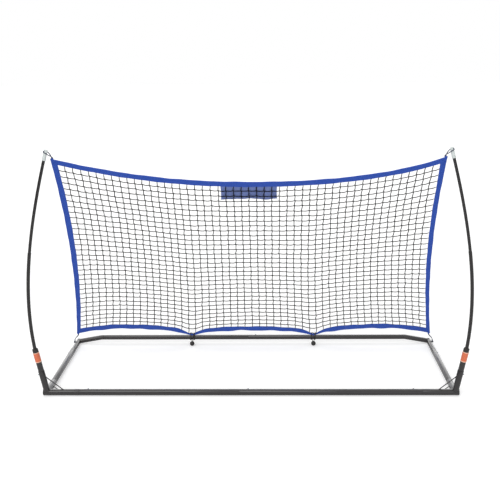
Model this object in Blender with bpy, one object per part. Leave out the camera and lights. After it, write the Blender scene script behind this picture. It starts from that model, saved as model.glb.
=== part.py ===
"""Bow-pole ball rebounder: a tube base on the floor, two bent rods and a net stretched between them.

Metres, +Z up. +X runs along the front bar, and +Y from the front bar, where the poles stand, to the
rear bar, which the net is tied to. The origin is on the floor, under the middle of the whole outline.
"""

import math

import bpy
import bmesh
from mathutils import Matrix, Vector

# Base: a rectangle of steel tube, measured between the axes of its corners
BASE_WIDTH = 2.400
BASE_DEPTH = 0.870
FRONT_Y = -0.420
TUBE_OD = 0.038
TUBE_WALL = 0.0012
SLIP_GAP = 0.0003
TOUCH_GAP = 0.0003
TUBE_SIDES = 16
CUTTER_REACH = 0.300

# Joints of the base: where each tube ends, and how far the next one reaches inside it
FRONT_STUB = 0.192
FRONT_OVERHANG = 0.018
FRONT_SEAM_X = -0.064
SIDE_STUB = 0.157
REAR_SIDE_ARM = 0.170
REAR_ARM = 0.175
REAR_BEND_BACK = 0.012
REAR_BEND_RADIUS = 0.055
REAR_SEAM_X = -0.032
REAR_BAR_Z = 0.046
INSERT = 0.085
END_ROUND = 0.003
BUTTON_SETBACK = 0.052

# Snap buttons: a round pin on a short spring leg, which stands through both walls of a joint
BUTTON_RADIUS = 0.004
BUTTON_PROUD = 0.0055
HOLE_CLEARANCE = 0.0004
LEG_LENGTH = 0.050
LEG_HEEL = 0.009
LEG_WIDTH = 0.0050
LEG_THICKNESS = 0.0008
PIN_SIDES = 12

# Front corners: tilted pole socket, two brace rods and a plastic plug in the open tube end
SOCKET_OUT = 0.165
SOCKET_BACK = -0.100
SOCKET_RADIUS = 0.0185
SOCKET_LENGTH = 0.145
BRACE_RADIUS = 0.003
BRACE_SIDES = 10
SOCKET_BRACE_AT = 0.120
SOCKET_BRACE_REACH = 0.115
CORNER_BRACE_X = 0.088
CORNER_BRACE_Y = 0.105
PLUG_LENGTH = 0.014
PLUG_FLANGE = 0.005
PLUG_DOME = 0.004

# Pole feet: steel ferrule, orange band and the black bush that grips the rod
FERRULE_TOP = 0.267
FERRULE_INSERT = 0.095
BAND_LENGTH = 0.062
BAND_THICKNESS = 0.0008
COLLAR_LENGTH = 0.022
COLLAR_BEVEL = 0.003
BUSH_DEPTH = 0.110
BUSH_FLOOR = 0.004
POLE_BUTTON_DOWN = 0.022

# Poles: a thinner fibreglass rod over a thicker one, bent out and back by the pull of the net
POLE_RADIUS = 0.0088
POLE_LOWER_RADIUS = 0.0102
POLE_SHOULDER = 0.003
POLE_LOWER_LENGTH = 0.575
POLE_START_OUT = 0.110
POLE_START_BACK = -0.095
TIP_IN = 0.089
TIP_BACK = 0.000
TIP_Z = 1.456
TIP_LEAN_IN = -0.260
TIP_LEAN_FORWARD = 0.090
POLE_STEPS = 28
POLE_SIDES = 10

# Pole tips: white plastic caps with a slot across the top
CAP_LENGTH = 0.062
CAP_RADIUS = 0.0110
CAP_TOP_RADIUS = 0.0100
CAP_SOCKET = 0.042
SLOT_DEPTH = 0.012
CAP_ROUND = 0.002
CAP_SIDES = 12
LOOP_FALL = 0.0035

# Net: a flat panel that leans back from the rear bar to the pole tips
NET_FOOT_IN = 0.025
NET_FOOT_Z = 0.081
NET_LEAN = math.radians(31.8)
NET_LENGTH = 1.556
NET_TOP_WIDTH = 2.196
NET_BOTTOM_WIDTH = 2.406
TOP_SAG = 0.180
SIDE_SAG = 0.038
OUTER_ARCH = 0.055
MIDDLE_ARCH = 0.044
TIE_X = 0.413
HEM_WIDTH = 0.034
HEM_THICKNESS = 0.0024
STRAND_WIDTH = 0.004
STRAND_THICKNESS = 0.003
NET_GAP = 0.0005
COLUMNS = 18
ROWS = 13

# Cloth panel behind the top of the net
PANEL_WIDTH = 0.325
PANEL_HEIGHT = 0.115
PANEL_LAP = 0.010
PANEL_THICKNESS = 0.0012

# Elastic cords: corner loops, hold-down loops and the ball-ended cords
TOP_CORD_RADIUS = 0.0025
CORD_RADIUS = 0.002
CORD_SIDES = 6
CORD_STEPS = 3
TOP_SEATS = (0.0080, 0.0145)
BOTTOM_SEATS = (0.0065, 0.0115)
HOOK_RADIUS = 0.004
HOOK_LENGTH = 0.014
HOOK_HEAD_RADIUS = 0.007
HOOK_HEAD = 0.003
HOOK_ROUND = 0.001
HOOK_BEFORE_END = 0.014
HOOK_WRAP_START = math.radians(10)
HOOK_WRAP_STEPS = 5
BALL_RADIUS = 0.016
BALL_FORWARD = 0.045
BALL_FLOOR_GAP = 0.0005
BALL_RINGS = 8
BALL_CORD_SPREAD = 0.0045
BALL_CORD_DEPTH = 0.3
WRAP_STEPS = 14
TIE_OFFSET = 0.012
TIE_ABOVE_HEM = 0.012
TIE_TURN_RADIUS = 0.0036

# Values that follow from the ones above
CORNER_X = BASE_WIDTH / 2
REAR_Y = FRONT_Y + BASE_DEPTH
FRONT_RADIUS = TUBE_OD / 2
SIDE_RADIUS = FRONT_RADIUS - TUBE_WALL - SLIP_GAP
REAR_RADIUS = SIDE_RADIUS - TUBE_WALL - SLIP_GAP
SIDE_FALL = (FRONT_RADIUS - SIDE_RADIUS) / (BASE_DEPTH - REAR_SIDE_ARM - SIDE_STUB)
FRONT_Z = FRONT_RADIUS + SIDE_FALL * SIDE_STUB
CORNER_Z = FRONT_Z - SIDE_FALL * BASE_DEPTH
FERRULE_RADIUS = SOCKET_RADIUS - TUBE_WALL - SLIP_GAP
FRONT_JOINT_X = CORNER_X - FRONT_STUB
REAR_JOINT_X = CORNER_X - REAR_ARM
BUTTON_DEPTH = 2 * TUBE_WALL + SLIP_GAP + TOUCH_GAP
SIDES = (("left", -1), ("right", 1))
SHARP_ANGLE = math.radians(35)

MATERIALS = {
    "black_powder_coat": ((0.028, 0.028, 0.030), 0.35, 0.0),
    "black_plastic": ((0.022, 0.020, 0.018), 0.50, 0.0),
    "bright_steel": ((0.62, 0.62, 0.63), 0.30, 1.0),
    "orange_film": ((0.60, 0.14, 0.05), 0.45, 0.0),
    "black_fibreglass": ((0.024, 0.022, 0.022), 0.30, 0.0),
    "white_plastic": ((0.80, 0.83, 0.82), 0.40, 0.0),
    "blue_webbing": ((0.035, 0.085, 0.42), 0.80, 0.0),
    "blue_cloth": ((0.042, 0.068, 0.24), 0.85, 0.0),
    "black_twine": ((0.060, 0.055, 0.050), 0.85, 0.0),
    "grey_cord": ((0.10, 0.11, 0.14), 0.80, 0.0),
    "black_rubber": ((0.023, 0.023, 0.024), 0.55, 0.0),
}


def material(name):
    found = bpy.data.materials.get(name)
    if found:
        return found
    colour, roughness, metallic = MATERIALS[name]
    made = bpy.data.materials.new(name)
    made.use_nodes = True
    shader = made.node_tree.nodes["Principled BSDF"]
    shader.inputs["Base Color"].default_value = (*colour, 1.0)
    shader.inputs["Roughness"].default_value = roughness
    shader.inputs["Metallic"].default_value = metallic
    made.diffuse_color = (*colour, 1.0)
    return made


def add_object(name, mesh, finish, matrix=None, parent=None):
    """Puts a mesh in the scene at a place, which is relative to its parent if it has one."""
    made = bpy.data.objects.new(name, mesh)
    bpy.context.scene.collection.objects.link(made)
    if not mesh.materials:
        mesh.materials.append(material(finish))
    if parent:
        made.parent = parent
    if matrix:
        made.location = matrix.to_translation()
        made.rotation_euler = matrix.to_euler()
    return made


def finish_mesh(name, shell):
    """Closes a bmesh off as mesh data, with its faces out and its sharp edges marked."""
    bmesh.ops.recalc_face_normals(shell, faces=shell.faces)
    mesh = bpy.data.meshes.new(name)
    shell.to_mesh(mesh)
    shell.free()
    mesh.shade_smooth()
    mesh.set_sharp_from_angle(angle=SHARP_ANGLE)
    return mesh


def aim(origin, direction):
    """A frame at the origin, its X along the direction and its Z as near to up as it can be."""
    turn = Vector(direction).to_track_quat("X", "Z")
    return Matrix.Translation(origin) @ turn.to_matrix().to_4x4()


def turned_mesh(name, profile, sides=TUBE_SIDES, loop=True):
    """A shape turned about local X from (x, radius) points, with a flat facet facing down.

    The radius is that of the facets, so that a facet lies where the round surface would.
    A looped profile is that of a tube, and the other kind starts and ends on the axis.
    """
    shell = bmesh.new()
    rings = []
    for x, radius in profile:
        if radius == 0:
            rings.append([shell.verts.new((x, 0, 0))])
            continue
        reach = radius / math.cos(math.pi / sides)
        angles = [(i + 0.5) * 2 * math.pi / sides for i in range(sides)]
        rings.append([shell.verts.new((x, reach * math.sin(a), reach * math.cos(a))) for a in angles])
    pairs = list(zip(rings, rings[1:]))
    if loop:
        pairs.append((rings[-1], rings[0]))
    for first, second in pairs:
        bridge(shell, first, second)
    return finish_mesh(name, shell)


def bridge(shell, first, second):
    """Faces between two rings, either of which may be a single point on the axis."""
    count = max(len(first), len(second))
    if count == 1:
        return
    for i in range(count):
        j = (i + 1) % count
        if len(first) == 1:
            shell.faces.new((first[0], second[i], second[j]))
        elif len(second) == 1:
            shell.faces.new((first[i], first[j], second[0]))
        else:
            shell.faces.new((first[i], first[j], second[j], second[i]))


def turned(name, profile, origin, direction, finish, sides=TUBE_SIDES, loop=True):
    return add_object(name, turned_mesh(name, profile, sides, loop), finish, aim(origin, direction))


def tube_profile(length, radius, wall=TUBE_WALL):
    return [(0, radius - wall), (0, radius), (length, radius), (length, radius - wall)]


def swaged_profile(length, radius):
    """A tube whose far end is drawn down to slip inside a tube of its own size."""
    small = radius - TUBE_WALL - SLIP_GAP
    neck = length - 2 * TUBE_WALL
    end = length + INSERT
    return [
        (0, radius - TUBE_WALL), (0, radius), (length, radius), (length, small),
        (end, small), (end, small - TUBE_WALL), (neck, small - TUBE_WALL), (neck, radius - TUBE_WALL),
    ]


def swept_mesh(name, points, radii, sides, closed=False):
    """A tube of polygon section along points, closed on itself or with capped ends."""
    count = len(points)
    shell = bmesh.new()
    rings = []
    across = None
    for i, point in enumerate(points):
        before = points[(i - 1) % count] if closed or i else point
        after = points[(i + 1) % count] if closed or i < count - 1 else point
        ahead = (after - before).normalized()
        if across is None:
            across = ahead.cross(Vector((0, 0, 1)) if abs(ahead.z) < 0.9 else Vector((0, 1, 0)))
        across = (across - ahead * across.dot(ahead)).normalized()
        up = ahead.cross(across)
        radius = radii[i] if isinstance(radii, list) else radii
        ring = []
        for k in range(sides):
            angle = (k + 0.5) * 2 * math.pi / sides
            ring.append(shell.verts.new(point + radius * (across * math.cos(angle) + up * math.sin(angle))))
        rings.append(ring)
    for first, second in zip(rings, rings[1:]):
        bridge(shell, first, second)
    if closed:
        bridge_nearest(shell, rings[-1], rings[0])
    else:
        shell.faces.new(rings[0])
        shell.faces.new(rings[-1])
    return finish_mesh(name, shell)


def bridge_nearest(shell, last, first):
    """Joins the end of a closed sweep to its start, with the twist between them taken out."""
    shift = min(range(len(first)), key=lambda k: (first[k].co - last[0].co).length)
    bridge(shell, last, [first[(i + shift) % len(first)] for i in range(len(first))])


def guide(made):
    """Marks a helper that shapes other pieces and isn't one itself."""
    made.hide_render = True
    made.display_type = "WIRE"
    return made


def combine(piece, other, operation):
    step = piece.modifiers.new(f"{operation.lower()} {other.name}", "BOOLEAN")
    step.operation = operation
    step.object = other
    step.solver = "EXACT"


def cut(piece, *others):
    for other in others:
        combine(piece, other, "DIFFERENCE")


def line_cutter(name, origin, direction, length, radius):
    profile = [(0, 0), (0, radius), (length, radius), (length, 0)]
    made = turned(name, profile, origin, direction, "black_plastic", loop=False)
    return guide(made)


def smooth_path(points, steps):
    """A curve through the points, with the same number of steps between each two."""
    ways = [(b - a).normalized() for a, b in zip(points, points[1:])]
    turns = [(a + b).normalized() for a, b in zip(ways[:1] + ways, ways + ways[-1:])]
    path = []
    for i, (start, end) in enumerate(zip(points, points[1:])):
        reach = (end - start).length
        path += hermite(start, turns[i] * reach, end, turns[i + 1] * reach, steps)[:-1]
    path.append(points[-1])
    return path


def hermite(start, start_way, end, end_way, steps):
    """A cubic from one point to another, with a given direction and pull at each."""
    points = []
    for i in range(steps + 1):
        t = i / steps
        points.append(
            start * (2 * t ** 3 - 3 * t * t + 1) + end * (3 * t * t - 2 * t ** 3)
            + start_way * (t ** 3 - 2 * t * t + t) + end_way * (t ** 3 - t * t)
        )
    return points


def side_direction():
    """Side tubes get thinner towards the rear, so their axis falls until two of them touch the floor."""
    return Vector((0, 1, -SIDE_FALL)).normalized()


def socket_axis(side):
    """Where the axis of a pole socket leaves the front bar, and the way that it points."""
    origin = Vector((side * CORNER_X, FRONT_Y, FRONT_Z))
    return origin, Vector((side * SOCKET_OUT, SOCKET_BACK, 1)).normalized()


def net_frame():
    """The net lies in the XY plane of this frame, with +Y up the slope and -Z facing the player."""
    place = Matrix.Translation((0, REAR_Y - NET_FOOT_IN, NET_FOOT_Z))
    return place @ Matrix.Rotation(math.pi / 2 + NET_LEAN, 4, "X")


def button_mesh():
    """A domed pin on its spring leg. The origin is on the outside of the tube, with Z pointing out."""
    pin_foot = -BUTTON_DEPTH - LEG_THICKNESS / 2
    dome = BUTTON_RADIUS / 2
    profile = [
        (pin_foot, 0), (pin_foot, BUTTON_RADIUS), (BUTTON_PROUD - dome, BUTTON_RADIUS),
        (BUTTON_PROUD - dome / 4, BUTTON_RADIUS * 0.8), (BUTTON_PROUD, BUTTON_RADIUS * 0.4),
        (BUTTON_PROUD, 0),
    ]
    pin = turned("button_pin", profile, (0, 0, 0), (0, 0, 1), "bright_steel", PIN_SIDES, loop=False)
    shell = bmesh.new()
    bmesh.ops.create_cube(shell, size=1)
    low = Vector((-LEG_HEEL, -LEG_WIDTH / 2, -BUTTON_DEPTH - LEG_THICKNESS))
    high = Vector((LEG_LENGTH, LEG_WIDTH / 2, -BUTTON_DEPTH))
    for vertex in shell.verts:
        vertex.co = Vector([low[k] if vertex.co[k] < 0 else high[k] for k in range(3)])
    leg = add_object("button_leg", finish_mesh("button_leg", shell), "bright_steel")
    combine(leg, pin, "UNION")
    bpy.context.view_layer.update()
    whole = leg.evaluated_get(bpy.context.evaluated_depsgraph_get())
    mesh = bpy.data.meshes.new_from_object(whole)
    mesh.name = "snap_button"
    for helper in (leg, pin):
        bpy.data.objects.remove(helper)
    return mesh


def add_button(name, mesh, at, along, out, outer, inner):
    """A snap button on the outside of a joint at a point of its axis, with its hole in both tubes."""
    out = (out - along * out.dot(along)).normalized()
    turn = Matrix((along, out.cross(along), out)).transposed().to_4x4()
    add_object(name, mesh, "bright_steel", Matrix.Translation(at) @ turn)
    reach = BUTTON_DEPTH + LEG_THICKNESS
    wide = BUTTON_RADIUS + HOLE_CLEARANCE
    profile = [(0, 0), (0, wide), (2 * reach, wide), (2 * reach, 0)]
    hole = turned(f"{name}_hole", profile, at - out * reach, out, "bright_steel", PIN_SIDES, loop=False)
    guide(hole)
    cut(outer, hole)
    cut(inner, hole)


def add_front_corner(name, side):
    """Welded corner: the stub of the front bar, the stub of the side and the pole socket with its rods."""
    end = Vector((side * (CORNER_X + FRONT_OVERHANG), FRONT_Y, FRONT_Z))
    inward = Vector((-side, 0, 0))
    stub = turned(f"front_stub_{name}", swaged_profile(FRONT_STUB + FRONT_OVERHANG, FRONT_RADIUS),
                  end, inward, "black_powder_coat")
    centre = Vector((side * CORNER_X, FRONT_Y, FRONT_Z))
    skin = FRONT_RADIUS + TOUCH_GAP
    beyond = end - inward * CUTTER_REACH / 4
    front_cutter = line_cutter(f"front_line_{name}", beyond, inward, CUTTER_REACH, skin)
    along = side_direction()
    side_cutter = line_cutter(f"side_line_{name}", centre, along, CUTTER_REACH, skin)

    side_stub = turned(f"side_stub_{name}", tube_profile(SIDE_STUB, FRONT_RADIUS), centre, along,
                       "black_powder_coat")
    cut(side_stub, front_cutter)

    origin, up = socket_axis(side)
    socket = turned(f"pole_socket_{name}", tube_profile(SOCKET_LENGTH, SOCKET_RADIUS), origin, up,
                    "black_powder_coat")
    cut(socket, front_cutter, side_cutter)
    socket_cutter = line_cutter(f"socket_line_{name}", origin, up, SOCKET_LENGTH, SOCKET_RADIUS + TOUCH_GAP)

    high = origin + up * SOCKET_BRACE_AT
    low = Vector((side * (CORNER_X - SOCKET_BRACE_REACH), FRONT_Y, FRONT_Z))
    brace = rod(f"socket_brace_{name}", high, low)
    cut(brace, socket_cutter, front_cutter)
    from_side = centre + along * CORNER_BRACE_Y
    to_front = Vector((side * (CORNER_X - CORNER_BRACE_X), FRONT_Y, FRONT_Z))
    corner_brace = rod(f"corner_brace_{name}", from_side, to_front)
    cut(corner_brace, side_cutter, front_cutter)

    bore = FRONT_RADIUS - TUBE_WALL - TOUCH_GAP
    plug = [
        (0, 0), (0, FRONT_RADIUS - PLUG_DOME), (PLUG_DOME / 3, FRONT_RADIUS - PLUG_DOME / 4),
        (PLUG_FLANGE, FRONT_RADIUS), (PLUG_FLANGE, bore), (PLUG_FLANGE + PLUG_LENGTH, bore),
        (PLUG_FLANGE + PLUG_LENGTH, 0),
    ]
    start = end - inward * (PLUG_FLANGE + TOUCH_GAP)
    turned(f"end_cap_{name}", plug, start, inward, "black_plastic", loop=False)
    return stub, side_stub, socket


def rod(name, start, end):
    length = (end - start).length
    profile = [(0, 0), (0, BRACE_RADIUS), (length, BRACE_RADIUS), (length, 0)]
    return turned(name, profile, start, end - start, "black_powder_coat", BRACE_SIDES, loop=False)


def add_rear_corner(name, side):
    """Welded corner: a straight arm to the side tube, and a bent arm that rises to the rear bar."""
    along = side_direction()
    inner_end = REAR_SIDE_ARM + INSERT
    corner = Vector((side * CORNER_X, REAR_Y, CORNER_Z))
    length = inner_end + REAR_RADIUS
    inside = REAR_RADIUS - TUBE_WALL
    profile = [
        (0, inside), (0, REAR_RADIUS), (length - END_ROUND, REAR_RADIUS), (length, REAR_RADIUS - END_ROUND),
        (length, 0), (length - TUBE_WALL, 0), (length - TUBE_WALL, inside - END_ROUND),
        (length - TUBE_WALL - END_ROUND, inside),
    ]
    piece = turned(f"rear_corner_{name}", profile, corner - along * inner_end, along, "black_powder_coat")

    small = REAR_RADIUS - TUBE_WALL - SLIP_GAP
    joint = Vector((side * REAR_JOINT_X, REAR_Y, REAR_BAR_Z))
    inward = Vector((-side, 0, 0))
    bend = joint - inward * REAR_BEND_BACK
    slope = (bend - corner).normalized()
    angle = slope.angle(inward)
    reach = REAR_BEND_RADIUS * math.tan(angle / 2)
    halfway = (slope + inward).normalized()
    top = (bend - slope * reach + bend + inward * reach) / 2
    middle = top + (bend - top) * 0.5
    stations = [
        (corner, slope, REAR_RADIUS, inside), (bend - slope * reach, slope, REAR_RADIUS, inside),
        (middle, halfway, REAR_RADIUS, inside), (bend + inward * reach, inward, REAR_RADIUS, inside),
        (joint, inward, REAR_RADIUS, small - TUBE_WALL), (joint, inward, small, small - TUBE_WALL),
        (joint + inward * INSERT, inward, small, small - TUBE_WALL),
    ]
    arm = add_object(f"rear_arm_{name}", piped_mesh(f"rear_arm_{name}", stations), "black_powder_coat")
    start = corner - along * CUTTER_REACH / 2
    core = line_cutter(f"rear_core_{name}", start, along, CUTTER_REACH, REAR_RADIUS - TUBE_WALL / 2)
    cut(arm, core)
    combine(piece, guide(arm), "UNION")
    return piece


def piped_mesh(name, stations):
    """A hollow tube through stations, which give its centre, direction, outer radius and bore."""
    shell = bmesh.new()
    outside, inside = [], []
    for point, ahead, outer, inner in stations:
        turn = aim(point, ahead)
        for rings, radius in ((outside, outer), (inside, inner)):
            reach = radius / math.cos(math.pi / TUBE_SIDES)
            angles = [(k + 0.5) * 2 * math.pi / TUBE_SIDES for k in range(TUBE_SIDES)]
            ring = [turn @ Vector((0, reach * math.sin(a), reach * math.cos(a))) for a in angles]
            rings.append([shell.verts.new(corner) for corner in ring])
    for rings in (outside, inside):
        for first, second in zip(rings, rings[1:]):
            bridge(shell, first, second)
    bridge(shell, outside[0], inside[0])
    bridge(shell, outside[-1], inside[-1])
    bmesh.ops.remove_doubles(shell, verts=shell.verts, dist=0.00001)
    return finish_mesh(name, shell)


def add_split_bar(name, joint_x, seam_x, y, z, radius):
    """A bar in two lengths between its corner joints. The left one slips inside the right one."""
    left_start = Vector((-joint_x + TOUCH_GAP, y, z))
    right_start = Vector((seam_x + TOUCH_GAP, y, z))
    left = swaged_profile(seam_x - left_start.x, radius)
    right = tube_profile(joint_x - TOUCH_GAP - right_start.x, radius)
    return {
        "left": turned(f"{name}_left", left, left_start, (1, 0, 0), "black_powder_coat"),
        "right": turned(f"{name}_right", right, right_start, (1, 0, 0), "black_powder_coat"),
    }


def add_base(mesh):
    """The rectangle on the floor: corners, bars, side tubes and the snap buttons of their joints."""
    stubs, side_stubs, sockets, corners, tubes = {}, {}, {}, {}, {}
    along = side_direction()
    for name, side in SIDES:
        stubs[name], side_stubs[name], sockets[name] = add_front_corner(name, side)
        corners[name] = add_rear_corner(name, side)
        start = Vector((side * CORNER_X, FRONT_Y, FRONT_Z)) + along * (SIDE_STUB - INSERT)
        length = BASE_DEPTH / along.y - SIDE_STUB - REAR_SIDE_ARM + INSERT
        tubes[name] = turned(f"side_tube_{name}", tube_profile(length, SIDE_RADIUS), start, along,
                             "black_powder_coat")

    front = add_split_bar("front_bar", FRONT_JOINT_X, FRONT_SEAM_X, FRONT_Y, FRONT_Z, FRONT_RADIUS)
    rear = add_split_bar("rear_bar", REAR_JOINT_X, REAR_SEAM_X, REAR_Y, REAR_BAR_Z, REAR_RADIUS)
    up, right, rearward = Vector((0, 0, 1)), Vector((1, 0, 0)), Vector((0, 1, 0))
    for name, side in SIDES:
        inward, outward = -side * right, side * right
        at = Vector((side * (FRONT_JOINT_X - BUTTON_SETBACK), FRONT_Y, FRONT_Z + FRONT_RADIUS))
        add_button(f"snap_button_front_{name}", mesh, at, inward, up, front[name], stubs[name])
        at = Vector((side * (REAR_JOINT_X - BUTTON_SETBACK), REAR_Y + REAR_RADIUS, REAR_BAR_Z))
        add_button(f"snap_button_rear_{name}", mesh, at, inward, rearward, rear[name], corners[name])
        centre = Vector((side * CORNER_X, FRONT_Y, FRONT_Z))
        at = centre + along * (SIDE_STUB - BUTTON_SETBACK) + outward * FRONT_RADIUS
        side_name = f"snap_button_side_front_{name}"
        add_button(side_name, mesh, at, -along, outward, side_stubs[name], tubes[name])
        corner = Vector((side * CORNER_X, REAR_Y, CORNER_Z))
        at = corner - along * (REAR_SIDE_ARM + BUTTON_SETBACK) + outward * SIDE_RADIUS
        side_name = f"snap_button_side_rear_{name}"
        add_button(side_name, mesh, at, -along, outward, tubes[name], corners[name])
    at = Vector((FRONT_SEAM_X + BUTTON_SETBACK, FRONT_Y, FRONT_Z + FRONT_RADIUS))
    add_button("snap_button_front_middle", mesh, at, right, up, front["right"], front["left"])
    at = Vector((REAR_SEAM_X + BUTTON_SETBACK, REAR_Y, REAR_BAR_Z + REAR_RADIUS))
    add_button("snap_button_rear_middle", mesh, at, right, up, rear["right"], rear["left"])
    return sockets


def add_pole(name, side, mesh, socket):
    """A pole as it lifts out of its socket: ferrule, band, bush with collar, rod and slotted tip."""
    origin, up = socket_axis(side)
    start = SOCKET_LENGTH - FERRULE_INSERT
    ferrule = turned(f"pole_ferrule_{name}", tube_profile(FERRULE_TOP - start, FERRULE_RADIUS),
                     origin + up * start, up, "black_powder_coat")
    out = facet_facing(origin, up, Vector((side, 0, 0)))
    at = origin + up * (SOCKET_LENGTH - POLE_BUTTON_DOWN) + out * SOCKET_RADIUS
    add_button(f"pole_button_{name}", mesh, at, -up, out, socket, ferrule)

    band_foot = origin + up * (FERRULE_TOP - BAND_LENGTH)
    band = tube_profile(BAND_LENGTH, FERRULE_RADIUS + TOUCH_GAP + BAND_THICKNESS, BAND_THICKNESS)
    turned(f"label_band_{name}", band, band_foot, up, "orange_film")

    grip = POLE_LOWER_RADIUS + TOUCH_GAP
    bush = FERRULE_RADIUS - TUBE_WALL - TOUCH_GAP
    collar_top = BUSH_DEPTH + TOUCH_GAP + COLLAR_LENGTH
    collar = [
        (0, 0), (0, bush), (BUSH_DEPTH + TOUCH_GAP, bush), (BUSH_DEPTH + TOUCH_GAP, FERRULE_RADIUS),
        (collar_top - COLLAR_BEVEL, FERRULE_RADIUS), (collar_top, FERRULE_RADIUS - COLLAR_BEVEL),
        (collar_top, grip), (BUSH_FLOOR, grip), (BUSH_FLOOR, 0),
    ]
    foot = origin + up * (FERRULE_TOP - BUSH_DEPTH)
    turned(f"pole_collar_{name}", collar, foot, up, "black_plastic", loop=False)

    tip, lean = pole_tip(side)
    begin = foot + up * collar_top
    cap_foot = tip - lean * CAP_LENGTH
    first = Vector((side * POLE_START_OUT, POLE_START_BACK, 1))
    points = [foot + up * (BUSH_FLOOR + TOUCH_GAP)]
    rise = cap_foot.z - begin.z
    points += hermite(begin, first * rise, cap_foot, lean / lean.z * rise, POLE_STEPS)
    points.append(cap_foot + lean * (CAP_SOCKET - TOUCH_GAP))
    joint, shown = 1, 0
    while shown < POLE_LOWER_LENGTH:
        shown += (points[joint + 1] - points[joint]).length
        joint += 1
    ahead = (points[joint + 1] - points[joint]).normalized()
    points.insert(joint + 1, points[joint] + ahead * POLE_SHOULDER)
    radii = [POLE_LOWER_RADIUS] * (joint + 1) + [POLE_RADIUS] * (len(points) - joint - 1)
    rod_mesh = swept_mesh(f"pole_{name}", points, radii, POLE_SIDES)
    add_object(f"pole_{name}", rod_mesh, "black_fibreglass")
    add_tip(name, side)


def facet_facing(origin, direction, wanted):
    """The way that a tube's facet faces, for the one nearest to what is wanted."""
    turn = aim(origin, direction).to_3x3()
    angles = [i * 2 * math.pi / TUBE_SIDES for i in range(TUBE_SIDES)]
    facets = [turn @ Vector((0, math.sin(a), math.cos(a))) for a in angles]
    return max(facets, key=lambda facet: facet.dot(wanted))


def pole_tip(side):
    """The top of a pole's cap, and the way that the rod points there."""
    tip = Vector((side * (CORNER_X - TIP_IN), FRONT_Y + TIP_BACK, TIP_Z))
    return tip, Vector((side * TIP_LEAN_IN, TIP_LEAN_FORWARD, 1)).normalized()


def tip_frame(side):
    """The frame of a cap: X along the rod, Y along the slot towards the net corner."""
    tip, lean = pole_tip(side)
    corner = net_frame() @ Vector((side * NET_TOP_WIDTH / 2, NET_LENGTH, 0))
    pull = corner - tip
    pull = (pull - lean * pull.dot(lean)).normalized()
    turn = Matrix((lean, pull, lean.cross(pull))).transposed().to_4x4()
    return Matrix.Translation(tip) @ turn


def add_tip(name, side):
    grip = POLE_RADIUS + TOUCH_GAP
    profile = [
        (-CAP_LENGTH, grip), (-CAP_LENGTH, CAP_RADIUS), (-CAP_ROUND, CAP_TOP_RADIUS),
        (0, CAP_TOP_RADIUS - CAP_ROUND), (0, 0), (CAP_SOCKET - CAP_LENGTH, 0),
        (CAP_SOCKET - CAP_LENGTH, grip),
    ]
    frame = tip_frame(side)
    cap_mesh = turned_mesh(f"pole_tip_{name}", profile, CAP_SIDES)
    cap = add_object(f"pole_tip_{name}", cap_mesh, "white_plastic", frame)
    shell = bmesh.new()
    bmesh.ops.create_cube(shell, size=1)
    half = TOP_CORD_RADIUS + TOUCH_GAP
    for vertex in shell.verts:
        vertex.co.x = -SLOT_DEPTH if vertex.co.x < 0 else SLOT_DEPTH
        vertex.co.y = math.copysign(2 * CAP_RADIUS, vertex.co.y)
        vertex.co.z = math.copysign(half, vertex.co.z)
    slot = add_object(f"tip_slot_{name}", finish_mesh(f"tip_slot_{name}", shell), "white_plastic", frame)
    cut(cap, guide(slot))


def spread(u):
    """Where a column lies along an edge, so that whole columns fall on the two hold-downs."""
    third = 0.5 - TIE_X / NET_BOTTOM_WIDTH
    if u < 1 / 3:
        return u * 3 * third
    if u > 2 / 3:
        return 1 - (1 - u) * 3 * third
    return third + (u - 1 / 3) * 3 * (1 - 2 * third)


def edge(which, t, inset):
    """A point of the net's outline, moved in by an inset. The top, sides and foot all curve inwards."""
    top, foot = NET_TOP_WIDTH / 2 - inset, NET_BOTTOM_WIDTH / 2 - inset
    high, low = NET_LENGTH - inset, inset
    if which == "top":
        t = spread(t)
        return Vector((top * (2 * t - 1), high - TOP_SAG * 4 * t * (1 - t), 0))
    if which == "foot":
        place = spread(t)
        part = (3 * t) % 1
        arch = MIDDLE_ARCH if 1 / 3 < t < 2 / 3 else OUTER_ARCH
        return Vector((foot * (2 * place - 1), low + arch * 4 * part * (1 - part), 0))
    side = -1 if which == "left" else 1
    reach = foot + (top - foot) * t - SIDE_SAG * 4 * t * (1 - t)
    return Vector((side * reach, low + (high - low) * t, 0))


def net_point(u, v, inset):
    """A point inside the outline, blended from its four edges."""
    foot, top = edge("foot", u, inset), edge("top", u, inset)
    left, right = edge("left", v, inset), edge("right", v, inset)
    across = spread(u)
    corners = (
        edge("foot", 0, inset) * (1 - across) * (1 - v) + edge("foot", 1, inset) * across * (1 - v)
        + edge("top", 0, inset) * (1 - across) * v + edge("top", 1, inset) * across * v
    )
    return foot * (1 - v) + top * v + left * (1 - across) + right * across - corners


def lattice_values(count, half):
    """Both edges of each strand, from one side of the net to the other."""
    values = []
    for i in range(count + 1):
        centre = min(max(i / count, half), 1 - half)
        values += [centre - half, centre + half]
    return values


def hem_stops(which):
    """Where the strands of the net meet a hem, with the mitres of its two ends."""
    mitre = TOUCH_GAP / NET_LENGTH
    if which in ("top", "foot"):
        values = lattice_values(COLUMNS, STRAND_WIDTH / 2 / NET_BOTTOM_WIDTH)
    else:
        values = lattice_values(ROWS, STRAND_WIDTH / 2 / NET_LENGTH)
    return [mitre] + values[1:-1] + [1 - mitre]


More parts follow.
